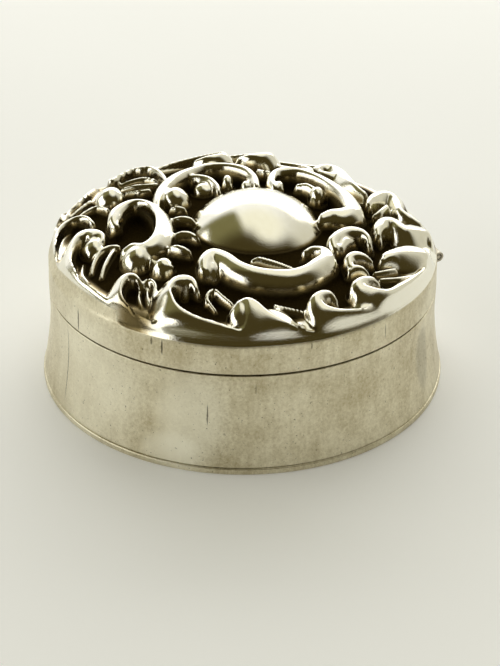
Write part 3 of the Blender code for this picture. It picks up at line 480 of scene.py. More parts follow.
def smooth_rows(rows, count):
    """Evenly spaced rows along a smooth curve through the rows that are given."""
    padded = [2 * rows[0] - rows[1], *rows, 2 * rows[-1] - rows[-2]]
    fine = [rows[0]]
    for before, start, end, after in zip(padded, padded[1:], padded[2:], padded[3:]):
        for t in np.linspace(0.0, 1.0, CURVE_STOPS)[1:]:
            fine.append(0.5 * (2 * start + (end - before) * t
                               + (2 * before - 5 * start + 4 * end - after) * t ** 2
                               + (3 * start - before - 3 * end + after) * t ** 3))
    fine = np.array(fine)
    lengths = np.concatenate(([0.0], np.cumsum(np.hypot(*np.diff(fine[:, :2], axis=0).T))))
    stops = np.linspace(0.0, lengths[-1], count)
    return np.stack([np.interp(stops, lengths, column) for column in fine.T], axis=1)


def drawn_rows(points):
    """Rows of a drawn form, at their places on the cover."""
    rows = []
    for across, down, hollow, back, rise in points:
        place = placed(across, down, rise * GRID_SQUARE)
        rows.append(np.array((*place, *(np.array((hollow, back, rise)) * GRID_SQUARE))))
    return rows


def rim_wave_rows(turn, climb):
    """Rows of one wave of the back rim, turned to its place."""
    rows = []
    for ahead, radius, hollow, back, rise in RIM_WAVE:
        angle = math.radians(turn + ahead)
        rows.append(np.array((radius * BAND_RADIUS * math.cos(angle),
                              radius * BAND_RADIUS * math.sin(angle), hollow * GRID_SQUARE,
                              back * GRID_SQUARE, rise * climb * GRID_SQUARE)))
    return rows


def section(distance, reach, power, roundness):
    """Share of a form's rise at a distance from its line, which is 0 at its reach."""
    return (1.0 - np.clip(distance / reach, 0.0, 1.0) ** power) ** roundness


class Stroke:
    """A form pressed up along a drawn line: steep in its hollow, round at its back."""

    def __init__(self, side, rows, fineness=STROKE_FINENESS):
        self.rows = smooth_rows(rows, fineness * len(rows))
        self.side = side

    def raised(self, places, field, floor):
        """Height at many places, which is the floor's away from the form, and its tarnish and
        painted shade.
        """
        path = self.rows[:, :2]
        spans = np.diff(path, axis=0)
        away = places[:, None, :] - path[None, :-1, :]
        along = np.clip((away * spans).sum(axis=2) / (spans ** 2).sum(axis=1), 0.0, 1.0)
        away = away - along[:, :, None] * spans
        distances = np.hypot(away[:, :, 0], away[:, :, 1])
        nearest = distances.argmin(axis=1)
        count = np.arange(len(places))
        station = nearest + along[count, nearest]
        offset = away[count, nearest]
        distance = distances[count, nearest]
        span = spans[nearest]
        turn = span[:, 0] * offset[:, 1] - span[:, 1] * offset[:, 0]
        turn = turn * self.side / (np.hypot(*span.T) * distance + 1e-12)
        inside = smooth_step(0.5 + 0.7 * turn)
        stations = np.arange(len(self.rows))
        hollow, back, rises = (np.interp(station, stations, self.rows[:, column])
                               for column in (2, 3, 4))
        climb = np.maximum(field + rises - floor, 0.0)
        steep = section(distance, hollow + 0.10 * climb, 3.0, 0.75)
        along = station / stations[-1]
        long = self.back_section(distance, climb, back, along)
        share = inside * steep + (1.0 - inside) * long
        # Tarnish and painted shade: darkest low in the hollow, and down the back towards its foot
        soil = inside * (0.97 - steep) * 1.6 + (1.0 - inside) * self.back_tarnish_and_shade(long, along)
        return floor + climb * share, soil

    def back_section(self, distance, climb, back, along):
        """Share of the climb at a distance from the line, on its round back."""
        return section(distance, back + 0.12 * climb, 2.2, 0.55)

    def back_tarnish_and_shade(self, share, along):
        """Tarnish and painted shade on the round back, which thickens down to its foot."""
        return (0.75 - share) * 1.7

    def reach(self):
        """The form's line, and how far from it the form can stand."""
        return self.rows[:, :2], self.rows[:, 2:4].max() + FORM_MARGIN


class Wave(Stroke):
    """A breaking wave: round behind its head, and run out in a soft foot at its tail."""

    def back_section(self, distance, climb, back, along):
        head = section(distance, back + 0.10 * climb, 2.0, 0.5)
        body = section(distance, back + 0.25 * climb, 1.3, 0.85)
        run = section(distance, 0.85 * back + 0.30 * climb, 2.0, 1.4)
        body = head + (body - head) * smooth_step((along - 0.14) / 0.14)
        return body + (run - body) * smooth_step((along - 0.50) / 0.35)

    def back_tarnish_and_shade(self, share, along):
        # Tarnish and painted shade on the back, fading out along the tail
        return (0.45 - share) * 1.4 * (1.0 - smooth_step((along - 0.3) / 0.3))


class Rib(Stroke):
    """A thin rib or a leaf, the same on both sides: (across, down, half width, rise)."""

    def __init__(self, points):
        rows = drawn_rows([(across, down, width, width, rise)
                           for across, down, width, rise in points])
        super().__init__(1, rows, RIB_FINENESS)

    def raised(self, places, field, floor):
        path, half = self.rows[:, :2], self.rows[:, 2]
        distances = np.hypot(*(places[:, None, :] - path[None, :, :]).transpose(2, 0, 1))
        nearest = distances.argmin(axis=1)
        climb = np.maximum(field + self.rows[nearest, 4] - floor, 0.0)
        share = section(distances.min(axis=1), 0.8 * half[nearest] + 0.18 * climb, 2.0, 1.1)
        # Tarnish and painted shade, thickening down the rib's sides
        return floor + climb * share, (0.85 - share) * 2.0


class Pearl:
    """A ball or a swelling pressed up from the floor."""

    def __init__(self, across, down, half_across, half_away, rise):
        self.rise = rise * GRID_SQUARE
        self.place = placed(across, down, self.rise)
        self.half = np.array((half_across, half_away)) * GRID_SQUARE

    def raised(self, places, field, floor):
        reach = (((places - self.place) / self.half) ** 2).sum(axis=1)
        dome = np.sqrt(np.clip(1.0 - reach, 0.0, 1.0))
        # Tarnish and painted shade, thickening down the ball's sides
        return floor + (field + self.rise - floor) * dome, (0.6 - dome) * 1.4

    def reach(self):
        return self.place[None, :], self.half.max()


def ornament():
    """All the forms of the cover, in the order that they are pressed up."""
    forms = [Wave(side, drawn_rows(points)) for side, points in WAVES]
    forms += [Wave(1, rim_wave_rows(*place)) for place in RIM_WAVE_PLACES]
    forms += [Stroke(side, drawn_rows(points)) for side, points in SCROLLS]
    forms += [Rib(points) for points in RIBS]
    return forms + [Pearl(*row) for row in PEARLS]


def boss_height(distance):
    """The plain boss: a cap of a ball that runs out into a short steep foot."""
    rise = COVER_SUMMIT - BOSS_FOOT
    ball = (BOSS_RADIUS ** 2 + rise ** 2) / (2 * rise)
    cap = COVER_SUMMIT - ball + np.sqrt(ball ** 2 - np.minimum(distance, BOSS_RADIUS) ** 2)
    return cap - np.maximum(distance - BOSS_RADIUS, 0.0) * BOSS_FOOT_SLOPE


def soft_max(first, second, blend):
    """The higher of two heights, with a small fillet where they meet."""
    near = np.maximum(blend - np.abs(first - second), 0.0) / blend
    return np.maximum(first, second) + near ** 2 * blend / 4


def cover_relief(places):
    """Height of the raised sheet at many places of its plan, and the tarnish and painted shade
    lying there.
    """
    distance = np.hypot(*places.T)
    field = outline_height(distance, FIELD_SHARES)
    floor = outline_height(distance, FLOOR_SHARES)
    height = floor.copy()
    # Tarnish and painted shade: full on the floor between the forms, fading out on the sloping rim
    soil = 1.0 - smooth_step((distance / BAND_RADIUS - RIM_SHARE) / 0.08)
    for form in ornament():
        line, reach = form.reach()
        low, high = line.min(axis=0) - reach, line.max(axis=0) + reach
        near = np.flatnonzero(((places > low) & (places < high)).all(axis=1))
        raised, form_tarnish_and_shade = form.raised(places[near], field[near], floor[near])
        stands = smooth_step((raised - height[near]) / TARNISH_AND_SHADE_STOP)
        soil[near] += (np.clip(form_tarnish_and_shade, 0.0, 1.0) - soil[near]) * stands
        height[near] = soft_max(height[near], raised, FORM_FILLET)
    # Painted shade: a darker band on the sloping rim at the front left
    turn = np.degrees(np.arctan2(places[:, 1], places[:, 0]))
    kept = 1.0 - smooth_step(np.abs(turn - RIM_PAINTED_SHADE_TURN) / RIM_PAINTED_SHADE_SPREAD)
    kept = kept * smooth_step((distance / BAND_RADIUS - RIM_SHARE) / 0.04)
    soil = np.maximum(soil, RIM_PAINTED_SHADE * kept)
    rim = smooth_step((BAND_RADIUS - distance) / RIM_RUN)
    height = floor + (height - floor) * rim
    boss = boss_height(np.hypot(*(places - np.array(BOSS_PLACE)).T))
    soil *= 1.0 - smooth_step((boss - height) / BOSS_TARNISH_AND_SHADE_STOP)
    return soft_max(height, boss, BOSS_FILLET), soil


def disc_grid(count):
    """A square grid bent into an even disc of the cover's radius."""
    line = np.linspace(-1.0, 1.0, count + 1)
    a, b = np.meshgrid(line, line, indexing="ij")
    wide = np.abs(a) > np.abs(b)
    safe_a = np.where(a == 0.0, 1.0, a)
    safe_b = np.where(b == 0.0, 1.0, b)
    angle = np.where(wide, math.pi / 4 * b / safe_a, math.pi / 2 - math.pi / 4 * a / safe_b)
    radius = np.where(wide, a, b) * BAND_RADIUS
    return np.stack((radius * np.cos(angle), radius * np.sin(angle)), axis=-1)


def softened(grid, reach):
    """Averages a grid of heights over a reach, with a bell-shaped weight."""
    reach = reach / CHART_STEP
    steps = np.arange(-math.ceil(3 * reach), math.ceil(3 * reach) + 1)
    weights = np.exp(-0.5 * (steps / reach) ** 2)
    weights /= weights.sum()
    for _ in range(2):
        padded = np.pad(grid, ((len(steps) // 2,) * 2, (0, 0)), mode="edge")
        rows = sum(weight * padded[place:place + len(grid)]
                   for place, weight in enumerate(weights))
        grid = rows.T
    return grid


def lowest_near(grid, rounds):
    """The lowest height near each point, which keeps the back clear of steep walls."""
    for _ in range(rounds):
        padded = np.pad(grid, 1, mode="edge")
        grid = np.min([padded[:-2, 1:-1], padded[2:, 1:-1], padded[1:-1, :-2],
                       padded[1:-1, 2:], grid], axis=0)
    return grid


def read_chart(chart, places):
    """A chart's value at many places, between its nearest four points."""
    spot = (places + CHART_REACH) / CHART_STEP
    corner = np.clip(spot.astype(int), 0, len(chart) - 2)
    a, b = (spot - corner).T
    i, j = corner.T
    return ((chart[i, j] * (1 - b) + chart[i, j + 1] * b) * (1 - a)
            + (chart[i + 1, j] * (1 - b) + chart[i + 1, j + 1] * b) * a)


def border_walk(count):
    """Numbers of the grid's border points, once round."""
    side = np.arange(count)
    row = count + 1
    return np.concatenate((side * row, count * row + side, (count - side) * row + count,
                           count - side))


def cover_charts():
    """Heights of the sheet's face, the tarnish and painted shade on it, and heights of its hollow
    back.
    """
    line = np.arange(-CHART_REACH, CHART_REACH + CHART_STEP, CHART_STEP)
    plan = np.stack(np.meshgrid(line, line, indexing="ij"), axis=-1)
    face, soil = (softened(values.reshape(plan.shape[:2]), FACE_SOFTNESS)
                  for values in cover_relief(plan.reshape(-1, 2)))
    back = softened(lowest_near(face, BACK_ROUNDS), BACK_SOFTNESS) - SHEET_THICKNESS
    return face, soil, back


def cover_faces(upper, lower, first_ring):
    """Faces of the sheet: its face and its back, its edge, and the seam between them."""
    faces = []
    for start, count, flip in ((0, FACE_SQUARES, False),
                               ((FACE_SQUARES + 1) ** 2, BACK_SQUARES, True)):
        corner = start + np.arange(count)[:, None] * (count + 1) + np.arange(count)
        squares = np.stack((corner, corner + count + 1, corner + count + 2, corner + 1),
                           axis=-1).reshape(-1, 4)
        faces += (squares[:, ::-1] if flip else squares).tolist()
    count = len(upper)
    rings = [upper] + [first_ring + np.arange(count) + count * number
                       for number in range(len(EDGE_RINGS))]
    for above, below in zip(rings, rings[1:]):
        for number in range(count):
            after = (number + 1) % count
            faces.append((above[number], below[number], below[after], above[after]))
    lowest = rings[-1]
    for number in range(len(lower)):
        first, second = lower[number], lower[(number + 1) % len(lower)]
        a, b, c = (lowest[(2 * number + step) % count] for step in range(3))
        faces += [(a, first, b), (b, first, second), (b, second, c)]
    return faces


def make_cover(material):
    """The raised cover: the face on a fine grid, its edge, and its hollow back."""
    face_chart, tarnish_and_shade_chart, back_chart = cover_charts()
    flat = disc_grid(FACE_SQUARES).reshape(-1, 2)
    back_plan = disc_grid(BACK_SQUARES).reshape(-1, 2)
    back = np.maximum(read_chart(back_chart, back_plan), COVER_SEAT)
    upper = border_walk(FACE_SQUARES)
    edge_points = []
    for drop, over in EDGE_RINGS:
        height = COVER_SEAT - drop
        ring = flat[upper] * (band_radius(height) + over) / BAND_RADIUS
        edge_points.append(np.column_stack((ring, np.full(len(ring), height))))
    points = np.concatenate((np.column_stack((flat, read_chart(face_chart, flat))),
                             np.column_stack((back_plan, back)), *edge_points))
    lower = border_walk(BACK_SQUARES) + len(flat)
    mesh = bpy.data.meshes.new("raised_cover")
    mesh.from_pydata(points.tolist(), [],
                     cover_faces(upper, lower, len(flat) + len(back_plan)))
    mesh.transform(Matrix.Rotation(PATTERN_TURN, 4, "Z"))
    builder = bmesh.new()
    builder.from_mesh(mesh)
    bmesh.ops.recalc_face_normals(builder, faces=builder.faces)
    builder.to_mesh(mesh)
    builder.free()
    mesh.shade_smooth()
    mesh.set_sharp_from_angle(angle=SHARP_FOLD)
    reach = np.hypot(*flat.T) / BAND_RADIUS
    left = smooth_step((-flat[:, 0] / BAND_RADIUS - SATIN_LEFT) / SATIN_LEFT_BLEND)
    satin = left * smooth_step((reach - SATIN_RING) / SATIN_RING_BLEND)
    satin[upper] = 1.0
    # The tarnish and painted shade goes on the face as a point attribute
    layers = {"soil": (read_chart(tarnish_and_shade_chart, flat), 0.0, 0.0),
              "inside": (np.zeros(len(flat)), 1.0, 0.0), "edge": (satin, 0.0, 1.0)}
    for name, (on_face, on_back, on_edge) in layers.items():
        layer = mesh.attributes.new(name, "FLOAT", "POINT")
        whole = np.concatenate((on_face, np.full(len(back_plan), on_back),
                                np.full(len(EDGE_RINGS) * len(upper), on_edge)))
        layer.data.foreach_set("value", whole.astype(np.float32))
    finish_mesh("raised_cover", mesh, material, "lid", ("lid_top",))


# Turned pieces

def turned_tree():
    """Geometry Nodes that spin a profile once round and finish the ring."""
    tree = bpy.data.node_groups.new("turned_ring", "GeometryNodeTree")
    tree.interface.new_socket("Profile", in_out="INPUT", socket_type="NodeSocketGeometry")
    tree.interface.new_socket("Steps", in_out="INPUT", socket_type="NodeSocketInt")
    tree.interface.new_socket("Finish", in_out="INPUT", socket_type="NodeSocketMaterial")
    tree.interface.new_socket("Ring", in_out="OUTPUT", socket_type="NodeSocketGeometry")
    nodes, links = tree.nodes, tree.links
    given, out = nodes.new("NodeGroupInput"), nodes.new("NodeGroupOutput")
    circle = nodes.new("GeometryNodeCurvePrimitiveCircle")
    circle.inputs["Radius"].default_value = 1.0
    profile = nodes.new("GeometryNodeMeshToCurve")
    sweep = nodes.new("GeometryNodeCurveToMesh")
    realize = nodes.new("GeometryNodeRealizeInstances")
    paint = nodes.new("GeometryNodeSetMaterial")
    links.new(given.outputs["Profile"], profile.inputs["Mesh"])
    links.new(given.outputs["Steps"], circle.inputs["Resolution"])
    links.new(circle.outputs["Curve"], sweep.inputs["Curve"])
    links.new(profile.outputs["Curve"], sweep.inputs["Profile Curve"])
    links.new(sweep.outputs["Mesh"], realize.inputs["Geometry"])
    links.new(realize.outputs["Geometry"], paint.inputs["Geometry"])
    links.new(given.outputs["Finish"], paint.inputs["Material"])
    links.new(paint.outputs["Geometry"], out.inputs["Ring"])
    return tree


def socket_key(tree, name):
    """The key that a modifier gives to the tree's input of this name."""
    for item in tree.interface.items_tree:
        if item.item_type == "SOCKET" and item.in_out == "INPUT" and item.name == name:
            return item.identifier
    raise KeyError(name)


def turned(name, outline, tree, material, body, replaced):
    """A ring turned from a closed outline of (radius, height) points."""
    profile = bpy.data.meshes.new(name)
    count = len(outline)
    points = [(radius - 1.0, -height, 0.0) for radius, height in outline]
    profile.from_pydata(points, [(place, (place + 1) % count) for place in range(count)], [])
    holder = bpy.data.objects.new(name + "_profile", profile)
    bpy.context.scene.collection.objects.link(holder)
    modifier = holder.modifiers.new("turned", "NODES")
    modifier.node_group = tree
    modifier[socket_key(tree, "Steps")] = TURN_STEPS
    modifier[socket_key(tree, "Finish")] = material
    graph = bpy.context.evaluated_depsgraph_get()
    mesh = bpy.data.meshes.new_from_object(holder.evaluated_get(graph))
    bpy.data.objects.remove(holder)
    builder = bmesh.new()
    builder.from_mesh(mesh)
    bmesh.ops.remove_doubles(builder, verts=builder.verts, dist=WELD)
    bmesh.ops.recalc_face_normals(builder, faces=builder.faces)
    builder.to_mesh(mesh)
    builder.free()
    mesh.name = name
    mesh.shade_smooth()
    mesh.set_sharp_from_angle(angle=SHARP_CORNER)
    finish_mesh(name, mesh, material, body, replaced)


def rounded(outline, radius):
    """Rounds the corners of an outline, each by the same small radius."""
    made = []
    count = len(outline)
    for number in range(count):
        corner = Vector(outline[number])
        before = Vector(outline[number - 1]) - corner
        after = Vector(outline[(number + 1) % count]) - corner
        bend = math.pi - before.angle(after)
        if bend < LEAST_CORNER:
            made.append(tuple(corner))
            continue
        cut = min(radius, 0.45 * before.length, 0.45 * after.length)
        start = corner + before.normalized() * cut
        end = corner + after.normalized() * cut
        for step in range(CORNER_STEPS + 1):
            share = step / CORNER_STEPS
            made.append(tuple(start.lerp(corner, share).lerp(corner.lerp(end, share), share)))
    return made


def wall_radius(height):
    """Outside of the wall: drawn in at the waist, flared towards the foot."""
    climb = max(0.0, 1.0 - (height - WALL_LOW.z) / (FLARE_TOP - WALL_LOW.z))
    return WAIST_RADIUS + (WALL_HIGH.x - WAIST_RADIUS) * climb ** FLARE_POWER


def band_radius(height):
    """Outside of the cover's band, which draws in a little towards the sheet."""
    climb = (height - BAND_LOW.z) / (BAND_HIGH.z - BAND_LOW.z)
    return WAIST_RADIUS + (BAND_RADIUS - WAIST_RADIUS) * max(0.0, climb) ** SHOULDER_POWER


def make_wall(tree, material):
    """The plain wall, up to the seam where the cover's band sits on it."""
    heights = np.linspace(WALL_LOW.z, SEAM_BOTTOM, WALL_STOPS)
    outer = [(wall_radius(height), height) for height in heights]
    inner = [(radius - WALL_THICKNESS, height) for radius, height in reversed(outer)]
    turned("waisted_wall", rounded(outer + inner, WALL_EDGE), tree, material, "box",
           ("body_wall",))


def make_base(tree, material):
    """The flat plate that closes the wall underneath."""
    outline = [(PLATE_HOLE, BASE_LOW.z), (BASE_RADIUS, BASE_LOW.z),
               (BASE_RADIUS, BASE_HIGH.z), (PLATE_HOLE, BASE_HIGH.z)]
    turned("foot_plate", rounded(outline, BASE_EDGE), tree, material, "box",
           ("base_plate",))


def make_ring(tree, material):
    """The ring inside the wall that the cover shuts over."""
    inner = RING_HIGH.x - RING_THICKNESS
    outline = [(inner, RING_LOW.z), (RING_HIGH.x, RING_LOW.z), (RING_HIGH.x, RING_HIGH.z),
               (inner, RING_HIGH.z)]
    turned("closing_ring", rounded(outline, RING_EDGE), tree, material, "box",
           ("inner_bezel",))


def make_band(tree, material):
    """The cover's plain band, under the raised sheet."""
    heights = np.linspace(BAND_LOW.z, BAND_HIGH.z, BAND_STOPS)
    outer = [(band_radius(height), height) for height in heights]
    inner = [(WAIST_RADIUS - BAND_THICKNESS, BAND_HIGH.z),
             (WAIST_RADIUS - BAND_THICKNESS, BAND_LOW.z)]
    turned("cover_band", rounded(outer + inner, BAND_EDGE), tree, material, "lid",
           ("lid_band",))


# Finishes

# Colours of the silver and of what lies on it
CLEAN_SATIN = (0.86, 0.81, 0.63)
TARNISHED_SATIN = (0.40, 0.33, 0.18)
# Painted highlight colour of the bright patches on the wall
HIGHLIT_SATIN = (0.98, 0.95, 0.80)
NICKED_SATIN = (0.07, 0.055, 0.03)
BRIGHT_CREST = (0.93, 0.91, 0.82)
WARM_CREST = (0.88, 0.85, 0.72)
# Olive tone of tarnish and painted shade on the middle slopes of the forms
TONED_AND_SHADED_SLOPE = (0.26, 0.20, 0.09)
# Near black tarnish and painted shade deep in the hollows
BLACK_TARNISH_AND_SHADE = (0.012, 0.008, 0.002)
BROWN_TARNISH_AND_SHADE = (0.035, 0.023, 0.007)
CLEAN_LINING = (0.86, 0.82, 0.72)
WORN_LINING = (0.66, 0.58, 0.44)
CLEAN_HINGE = (0.70, 0.66, 0.55)
DARK_HINGE = (0.20, 0.16, 0.10)

# Depths of the grain that the light picks out
SATIN_GRAIN = 0.020 * MM
LINING_GRAIN = 0.015 * MM
HINGE_GRAIN = 0.010 * MM

# Marks on the plain silver: degrees round, height, width and length in mm, and depth of tone
MARKS = ((-148.4, 6.9, 0.09, 5.2, 0.75), (-141.9, 13.9, 0.14, 1.5, 0.85),
         (-111.5, 14.8, 0.12, 1.0, 0.85), (-114.6, 15.3, 0.14, 0.5, 0.7),
         (-98.9, 7.1, 0.09, 1.3, 0.8), (-27.0, 7.0, 1.8, 4.5, 0.3), (-71.0, 15.3, 0.10, 0.4, 0.6),
         (-86.0, 10.5, 0.07, 0.7, 0.5), (-47.0, 14.3, 0.10, 0.9, 0.5))

# Soft bright patches in the same figures: those at the front and left are painted highlights
# standing in for the wall's reflections; the two at the back are further bright patches
HIGHLIGHT_PATCHES = ((-103.0, 6.4, 3.4, 5.5, 0.50), (-108.5, 2.1, 3.0, 1.8, 0.55),
            (-138.0, 7.5, 7.0, 8.0, 0.45), (30.0, 8.0, 6.0, 6.0, 0.4),
            (120.0, 6.0, 6.0, 7.0, 0.4))
SOFT_SPOT = (0.0, 2.2)
SHARP_SPOT = (0.3, 1.3)

# The floor, which glows a little only where it is looked at
FLOOR_REACH = 1.5
COOL_PAPER = (0.90, 0.90, 0.88)
BRIGHT_PAPER = (0.93, 0.93, 0.91)
NO_GLOW = (0.0, 0.0, 0.0)
PAPER_GLOW = (0.95, 0.97, 0.93)

# The window behind the box, before the pattern's turn
WINDOW_PLACE = Vector((0.04, 0.50, 0.26))
WINDOW_AIM = Vector((0.0, 0.0, 0.01))
WINDOW_SIZE = (0.80, 0.34)
WINDOW_POWER = 1.5
WINDOW_COLOUR = (1.0, 1.0, 0.98)

# Colours of the room round it
ROOM_STRENGTH = 1.1
PALE_WALL = (0.96, 0.96, 0.93)
BEIGE_WALL = (0.60, 0.58, 0.48)
CEILING = (0.90, 0.88, 0.74)
OLIVE_WALL = (0.17, 0.155, 0.065)
DARK_FRONT = (0.05, 0.038, 0.012)
WINDOW_PANE = (2.0, 2.0, 1.9)


def spot(finish, wander, blend, turn, height, width, length):
    """An oval spot on the outside of the wall or the band, sharp or soft at its edge."""
    angle = math.radians(turn) + PATTERN_TURN
    aim = (math.cos(angle), math.sin(angle), 0.0)
    across = (finish.places.along((-aim[1], aim[0], 0.0)) + wander) / width
    up = (finish.places.along((0.0, 0.0, 1.0)) - height) / length
    mask = 1.0 - (across * across + up * up).between(*blend)
    return mask * finish.places.along(aim).between(1.0, 2.0)


def satin_look(finish):
    """Colour, roughness and height of worn satin silver, with painted highlights in soft bright
    patches.
    """
    cloud = finish.noise(scale=0.16, detail=4.0, rough=0.6)
    mottle = finish.noise(scale=2.6, detail=6.0, rough=0.8)
    streaks = finish.noise(scale=1.1, detail=4.0, rough=0.6, stretch=(1.0, 1.0, 0.2))
    wander = (mottle - 0.5) * 0.25
    tarnish = (cloud * 0.6 + mottle * 0.6 + streaks * 0.25).between(0.45, 1.05)
    # Painted highlights: soft bright patches on the wall
    highlight = sum(spot(finish, wander * 12.0, SOFT_SPOT, *patch[:4]) * patch[4]
                for patch in HIGHLIGHT_PATCHES)
    highlight = (highlight * (0.7 + streaks * 0.6)).clipped()
    colour = highlight.mix(tarnish.mix(CLEAN_SATIN, TARNISHED_SATIN), HIGHLIT_SATIN)
    pits = finish.noise(scale=3.4, detail=3.0, rough=0.6).between(0.66, 0.72)
    nicks = sum(spot(finish, wander, SHARP_SPOT, *mark[:4]) * mark[4] for mark in MARKS)
    colour = (pits * 0.7 + nicks).clipped().mix(colour, NICKED_SATIN)
    scratches = finish.noise(scale=1.6, detail=6.0, rough=0.75, stretch=(1.0, 1.0, 9.0))
    height = scratches * 0.5 + mottle * 0.5 - pits * 0.8
    return colour, 0.28 + mottle * 0.18 + pits * 0.2, height


def raised_silver():
    """Polished crests, brown tarnish and painted shade lying in the hollows, a satin edge and a
    matt back.
    """
    finish = Finish("raised_silver", Specular_IOR_Level=0.0)
    inside, edge = finish.attribute("inside"), finish.attribute("edge").between(0.3, 0.7)
    cloud = finish.noise(scale=1.3, detail=3.0)
    # Tarnish and painted shade: olive on the middle slopes, near black and not metallic deep in
    # the hollows
    soil = (finish.attribute("soil") + (cloud - 0.5) * 0.12) * (1.0 - inside)
    deep_tarnish_and_shade = soil.between(0.35, 0.90) * (1.0 - edge)
    toned_and_shaded = soil.between(0.02, 0.55).mix(cloud.mix(BRIGHT_CREST, WARM_CREST), TONED_AND_SHADED_SLOPE)
    dark = finish.noise(scale=4.0).mix(BLACK_TARNISH_AND_SHADE, BROWN_TARNISH_AND_SHADE)
    satin, satin_roughness, satin_height = satin_look(finish)
    finish.set("Base Color", edge.mix(deep_tarnish_and_shade.mix(toned_and_shaded, dark), satin))
    finish.set("Metallic", 1.0 - deep_tarnish_and_shade)
    grain = finish.noise(scale=9.0, detail=4.0, rough=0.6)
    rough = 0.06 + grain * 0.08 + deep_tarnish_and_shade * 0.25 + inside * 0.2
    finish.set("Roughness", (rough + (satin_roughness - rough) * edge).clipped())
    fine = finish.noise(scale=6.0, detail=5.0, rough=0.65) * 0.5
    finish.bump(fine + (satin_height - fine) * edge, SATIN_GRAIN)
    return finish.material


def plain_silver():
    """Worn satin silver: cloudy tarnish, a haze of fine scratches, pits and a few nicks."""
    finish = Finish("plain_silver", Metallic=1.0)
    colour, roughness, height = satin_look(finish)
    finish.set("Base Color", colour)
    finish.set("Roughness", roughness.clipped())
    finish.bump(height, SATIN_GRAIN)
    return finish.material


def lining_silver():
    """The duller silver of the ring inside, with scratches round it."""
    finish = Finish("lining_silver", Metallic=1.0)
    cloud = finish.noise(scale=0.4, detail=4.0, rough=0.6)
    finish.set("Base Color", cloud.mix(CLEAN_LINING, WORN_LINING))
    finish.set("Roughness", 0.32 + finish.noise(scale=3.0, detail=4.0) * 0.15)
    scratches = finish.noise(scale=1.4, detail=6.0, rough=0.75, stretch=(1.0, 1.0, 6.0))
    finish.bump(scratches, LINING_GRAIN)
    return finish.material


def hinge_silver():
    """Tubes and pin of the hinge, darker in soft random clouds."""
    finish = Finish("hinge_silver", Metallic=1.0)
    cloud = finish.noise(scale=1.8, detail=4.0, rough=0.6)
    finish.set("Base Color", cloud.mix(CLEAN_HINGE, DARK_HINGE))
    finish.set("Roughness", 0.28 + cloud * 0.3)
    finish.bump(finish.noise(scale=5.0, detail=4.0), HINGE_GRAIN)
    return finish.material


def floor_paint():
    """Pale paper that glows a little to the camera, and not onto the box."""
    finish = Finish("pale_floor", Roughness=0.85, Emission_Strength=0.13)
    finish.set("Base Color", finish.noise(scale=0.02).mix(COOL_PAPER, BRIGHT_PAPER))
    seen = sum(finish.root.node("ShaderNodeLightPath", output=f"Is {ray} Ray")
               for ray in ("Camera", "Glossy", "Transmission")).clipped()
    finish.set("Emission Color", seen.mix(NO_GLOW, PAPER_GLOW))
    return finish.material


# Stage: floor, lamps, camera

def make_stage():
    """A broad pale floor under the box."""
    mesh = bpy.data.meshes.new("floor")
    corners = [(-FLOOR_REACH, -FLOOR_REACH, 0.0), (FLOOR_REACH, -FLOOR_REACH, 0.0),
               (FLOOR_REACH, FLOOR_REACH, 0.0), (-FLOOR_REACH, FLOOR_REACH, 0.0)]
    mesh.from_pydata(corners, [], [(0, 1, 2, 3)])
    mesh.materials.append(floor_paint())
    floor = bpy.data.objects.new("floor", mesh)
    bpy.context.scene.collection.objects.link(floor)


def make_lamp():
    """The broad pale window behind the box."""
    lamp = bpy.data.lights.new("window", "AREA")
    lamp.shape = "RECTANGLE"
    lamp.size, lamp.size_y = WINDOW_SIZE
    lamp.energy = WINDOW_POWER
    lamp.color = WINDOW_COLOUR
    holder = bpy.data.objects.new("window", lamp)
    toward_box = (WINDOW_AIM - WINDOW_PLACE).to_track_quat("-Z", "Y").to_matrix().to_4x4()
    holder.matrix_world = (Matrix.Rotation(PATTERN_TURN, 4, "Z")
                           @ Matrix.Translation(WINDOW_PLACE) @ toward_box)
    bpy.context.scene.collection.objects.link(holder)


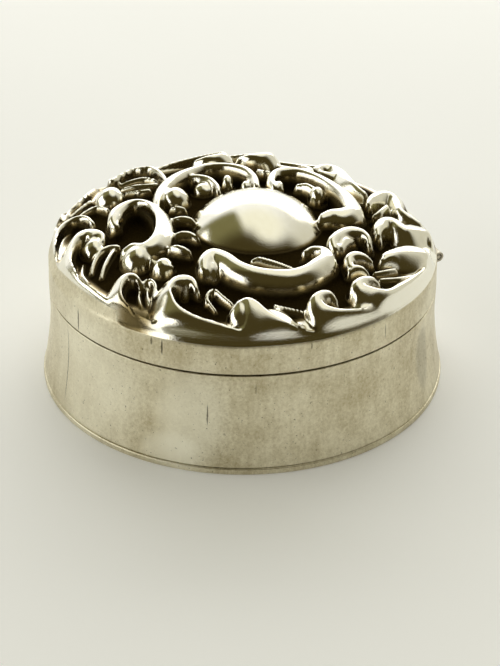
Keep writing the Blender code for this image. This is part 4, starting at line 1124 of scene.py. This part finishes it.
def make_room():
    """What the silver mirrors: pale walls and ceiling, a dim olive wall with a bright window
    pane at the left, and a dark warm room in front."""
    world = bpy.data.worlds.new("room")
    bpy.context.scene.world = world
    world.use_nodes = True
    toward = Field(world.node_tree, None).node("ShaderNodeTexCoord", output="Generated")
    turn = Matrix.Rotation(PATTERN_TURN, 3, "Z")

    def facing(across, away, up):
        """1 towards a direction of the room, 0 at right angles to it."""
        return toward.along(tuple(turn @ Vector((across, away, up)).normalized()))

    height, left, back = facing(0.0, 0.0, 1.0), facing(-1.0, 0.0, 0.0), facing(0.0, 1.0, 0.0)
    walls = facing(1.0, 0.0, 0.0).between(0.1, 0.9).mix(PALE_WALL, BEIGE_WALL)
    room = height.between(0.75, 0.95).mix(walls, CEILING)
    olive = facing(-1.0, -0.16, 0.0).between(0.22, 0.26) * (1.0 - back.between(0.50, 0.60))
    room = olive.mix(room, OLIVE_WALL)
    front = facing(0.05, -1.0, 0.0).between(-0.15, 0.30)
    low = 1.0 - facing(0.3, 0.0, 1.0).between(0.89, 0.985)
    room = (front * low * height.between(-0.02, 0.10)).mix(room, DARK_FRONT)
    pane = left.between(0.62, 0.66) * (1.0 - back.between(0.36, 0.42))
    pane = pane * height.between(0.10, 0.14) * (1.0 - height.between(0.50, 0.54))
    room = pane.mix(room, WINDOW_PANE)
    shader = world.node_tree.nodes["Background"]
    world.node_tree.links.new(room.socket, shader.inputs["Color"])
    shader.inputs["Strength"].default_value = ROOM_STRENGTH


def make_camera():
    """The photograph's viewpoint, in front and above, turned with the pattern."""
    right, up, forward = eye_axes()
    axes = Matrix((right, up, -forward)).transposed().to_4x4()
    lens = bpy.data.cameras.new("camera")
    lens.sensor_width = SENSOR
    lens.lens = LENS_PIXELS / PICTURE_HEIGHT * SENSOR
    lens.clip_start = 10.0 * MM
    camera = bpy.data.objects.new("camera", lens)
    camera.matrix_world = (Matrix.Rotation(PATTERN_TURN, 4, "Z")
                           @ Matrix.Translation(EYE) @ axes)
    bpy.context.scene.collection.objects.link(camera)
    bpy.context.scene.camera = camera


def dress_hinge(material):
    """Gives the hinge's own solids their finish."""
    for node in ("body_knuckle_1", "body_knuckle_2", "body_knuckle_3", "lid_knuckle_1",
                 "lid_knuckle_2", "hinge_pin"):
        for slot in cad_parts[node].material_slots:
            slot.material = material


make_camera()
make_lamp()
make_room()
make_stage()
bpy.context.scene.view_settings.view_transform = "Standard"
plain = plain_silver()
ring_tree = turned_tree()
make_base(ring_tree, plain)
make_wall(ring_tree, plain)
make_ring(ring_tree, lining_silver())
make_band(ring_tree, plain)
make_cover(raised_silver())
dress_hinge(hinge_silver())
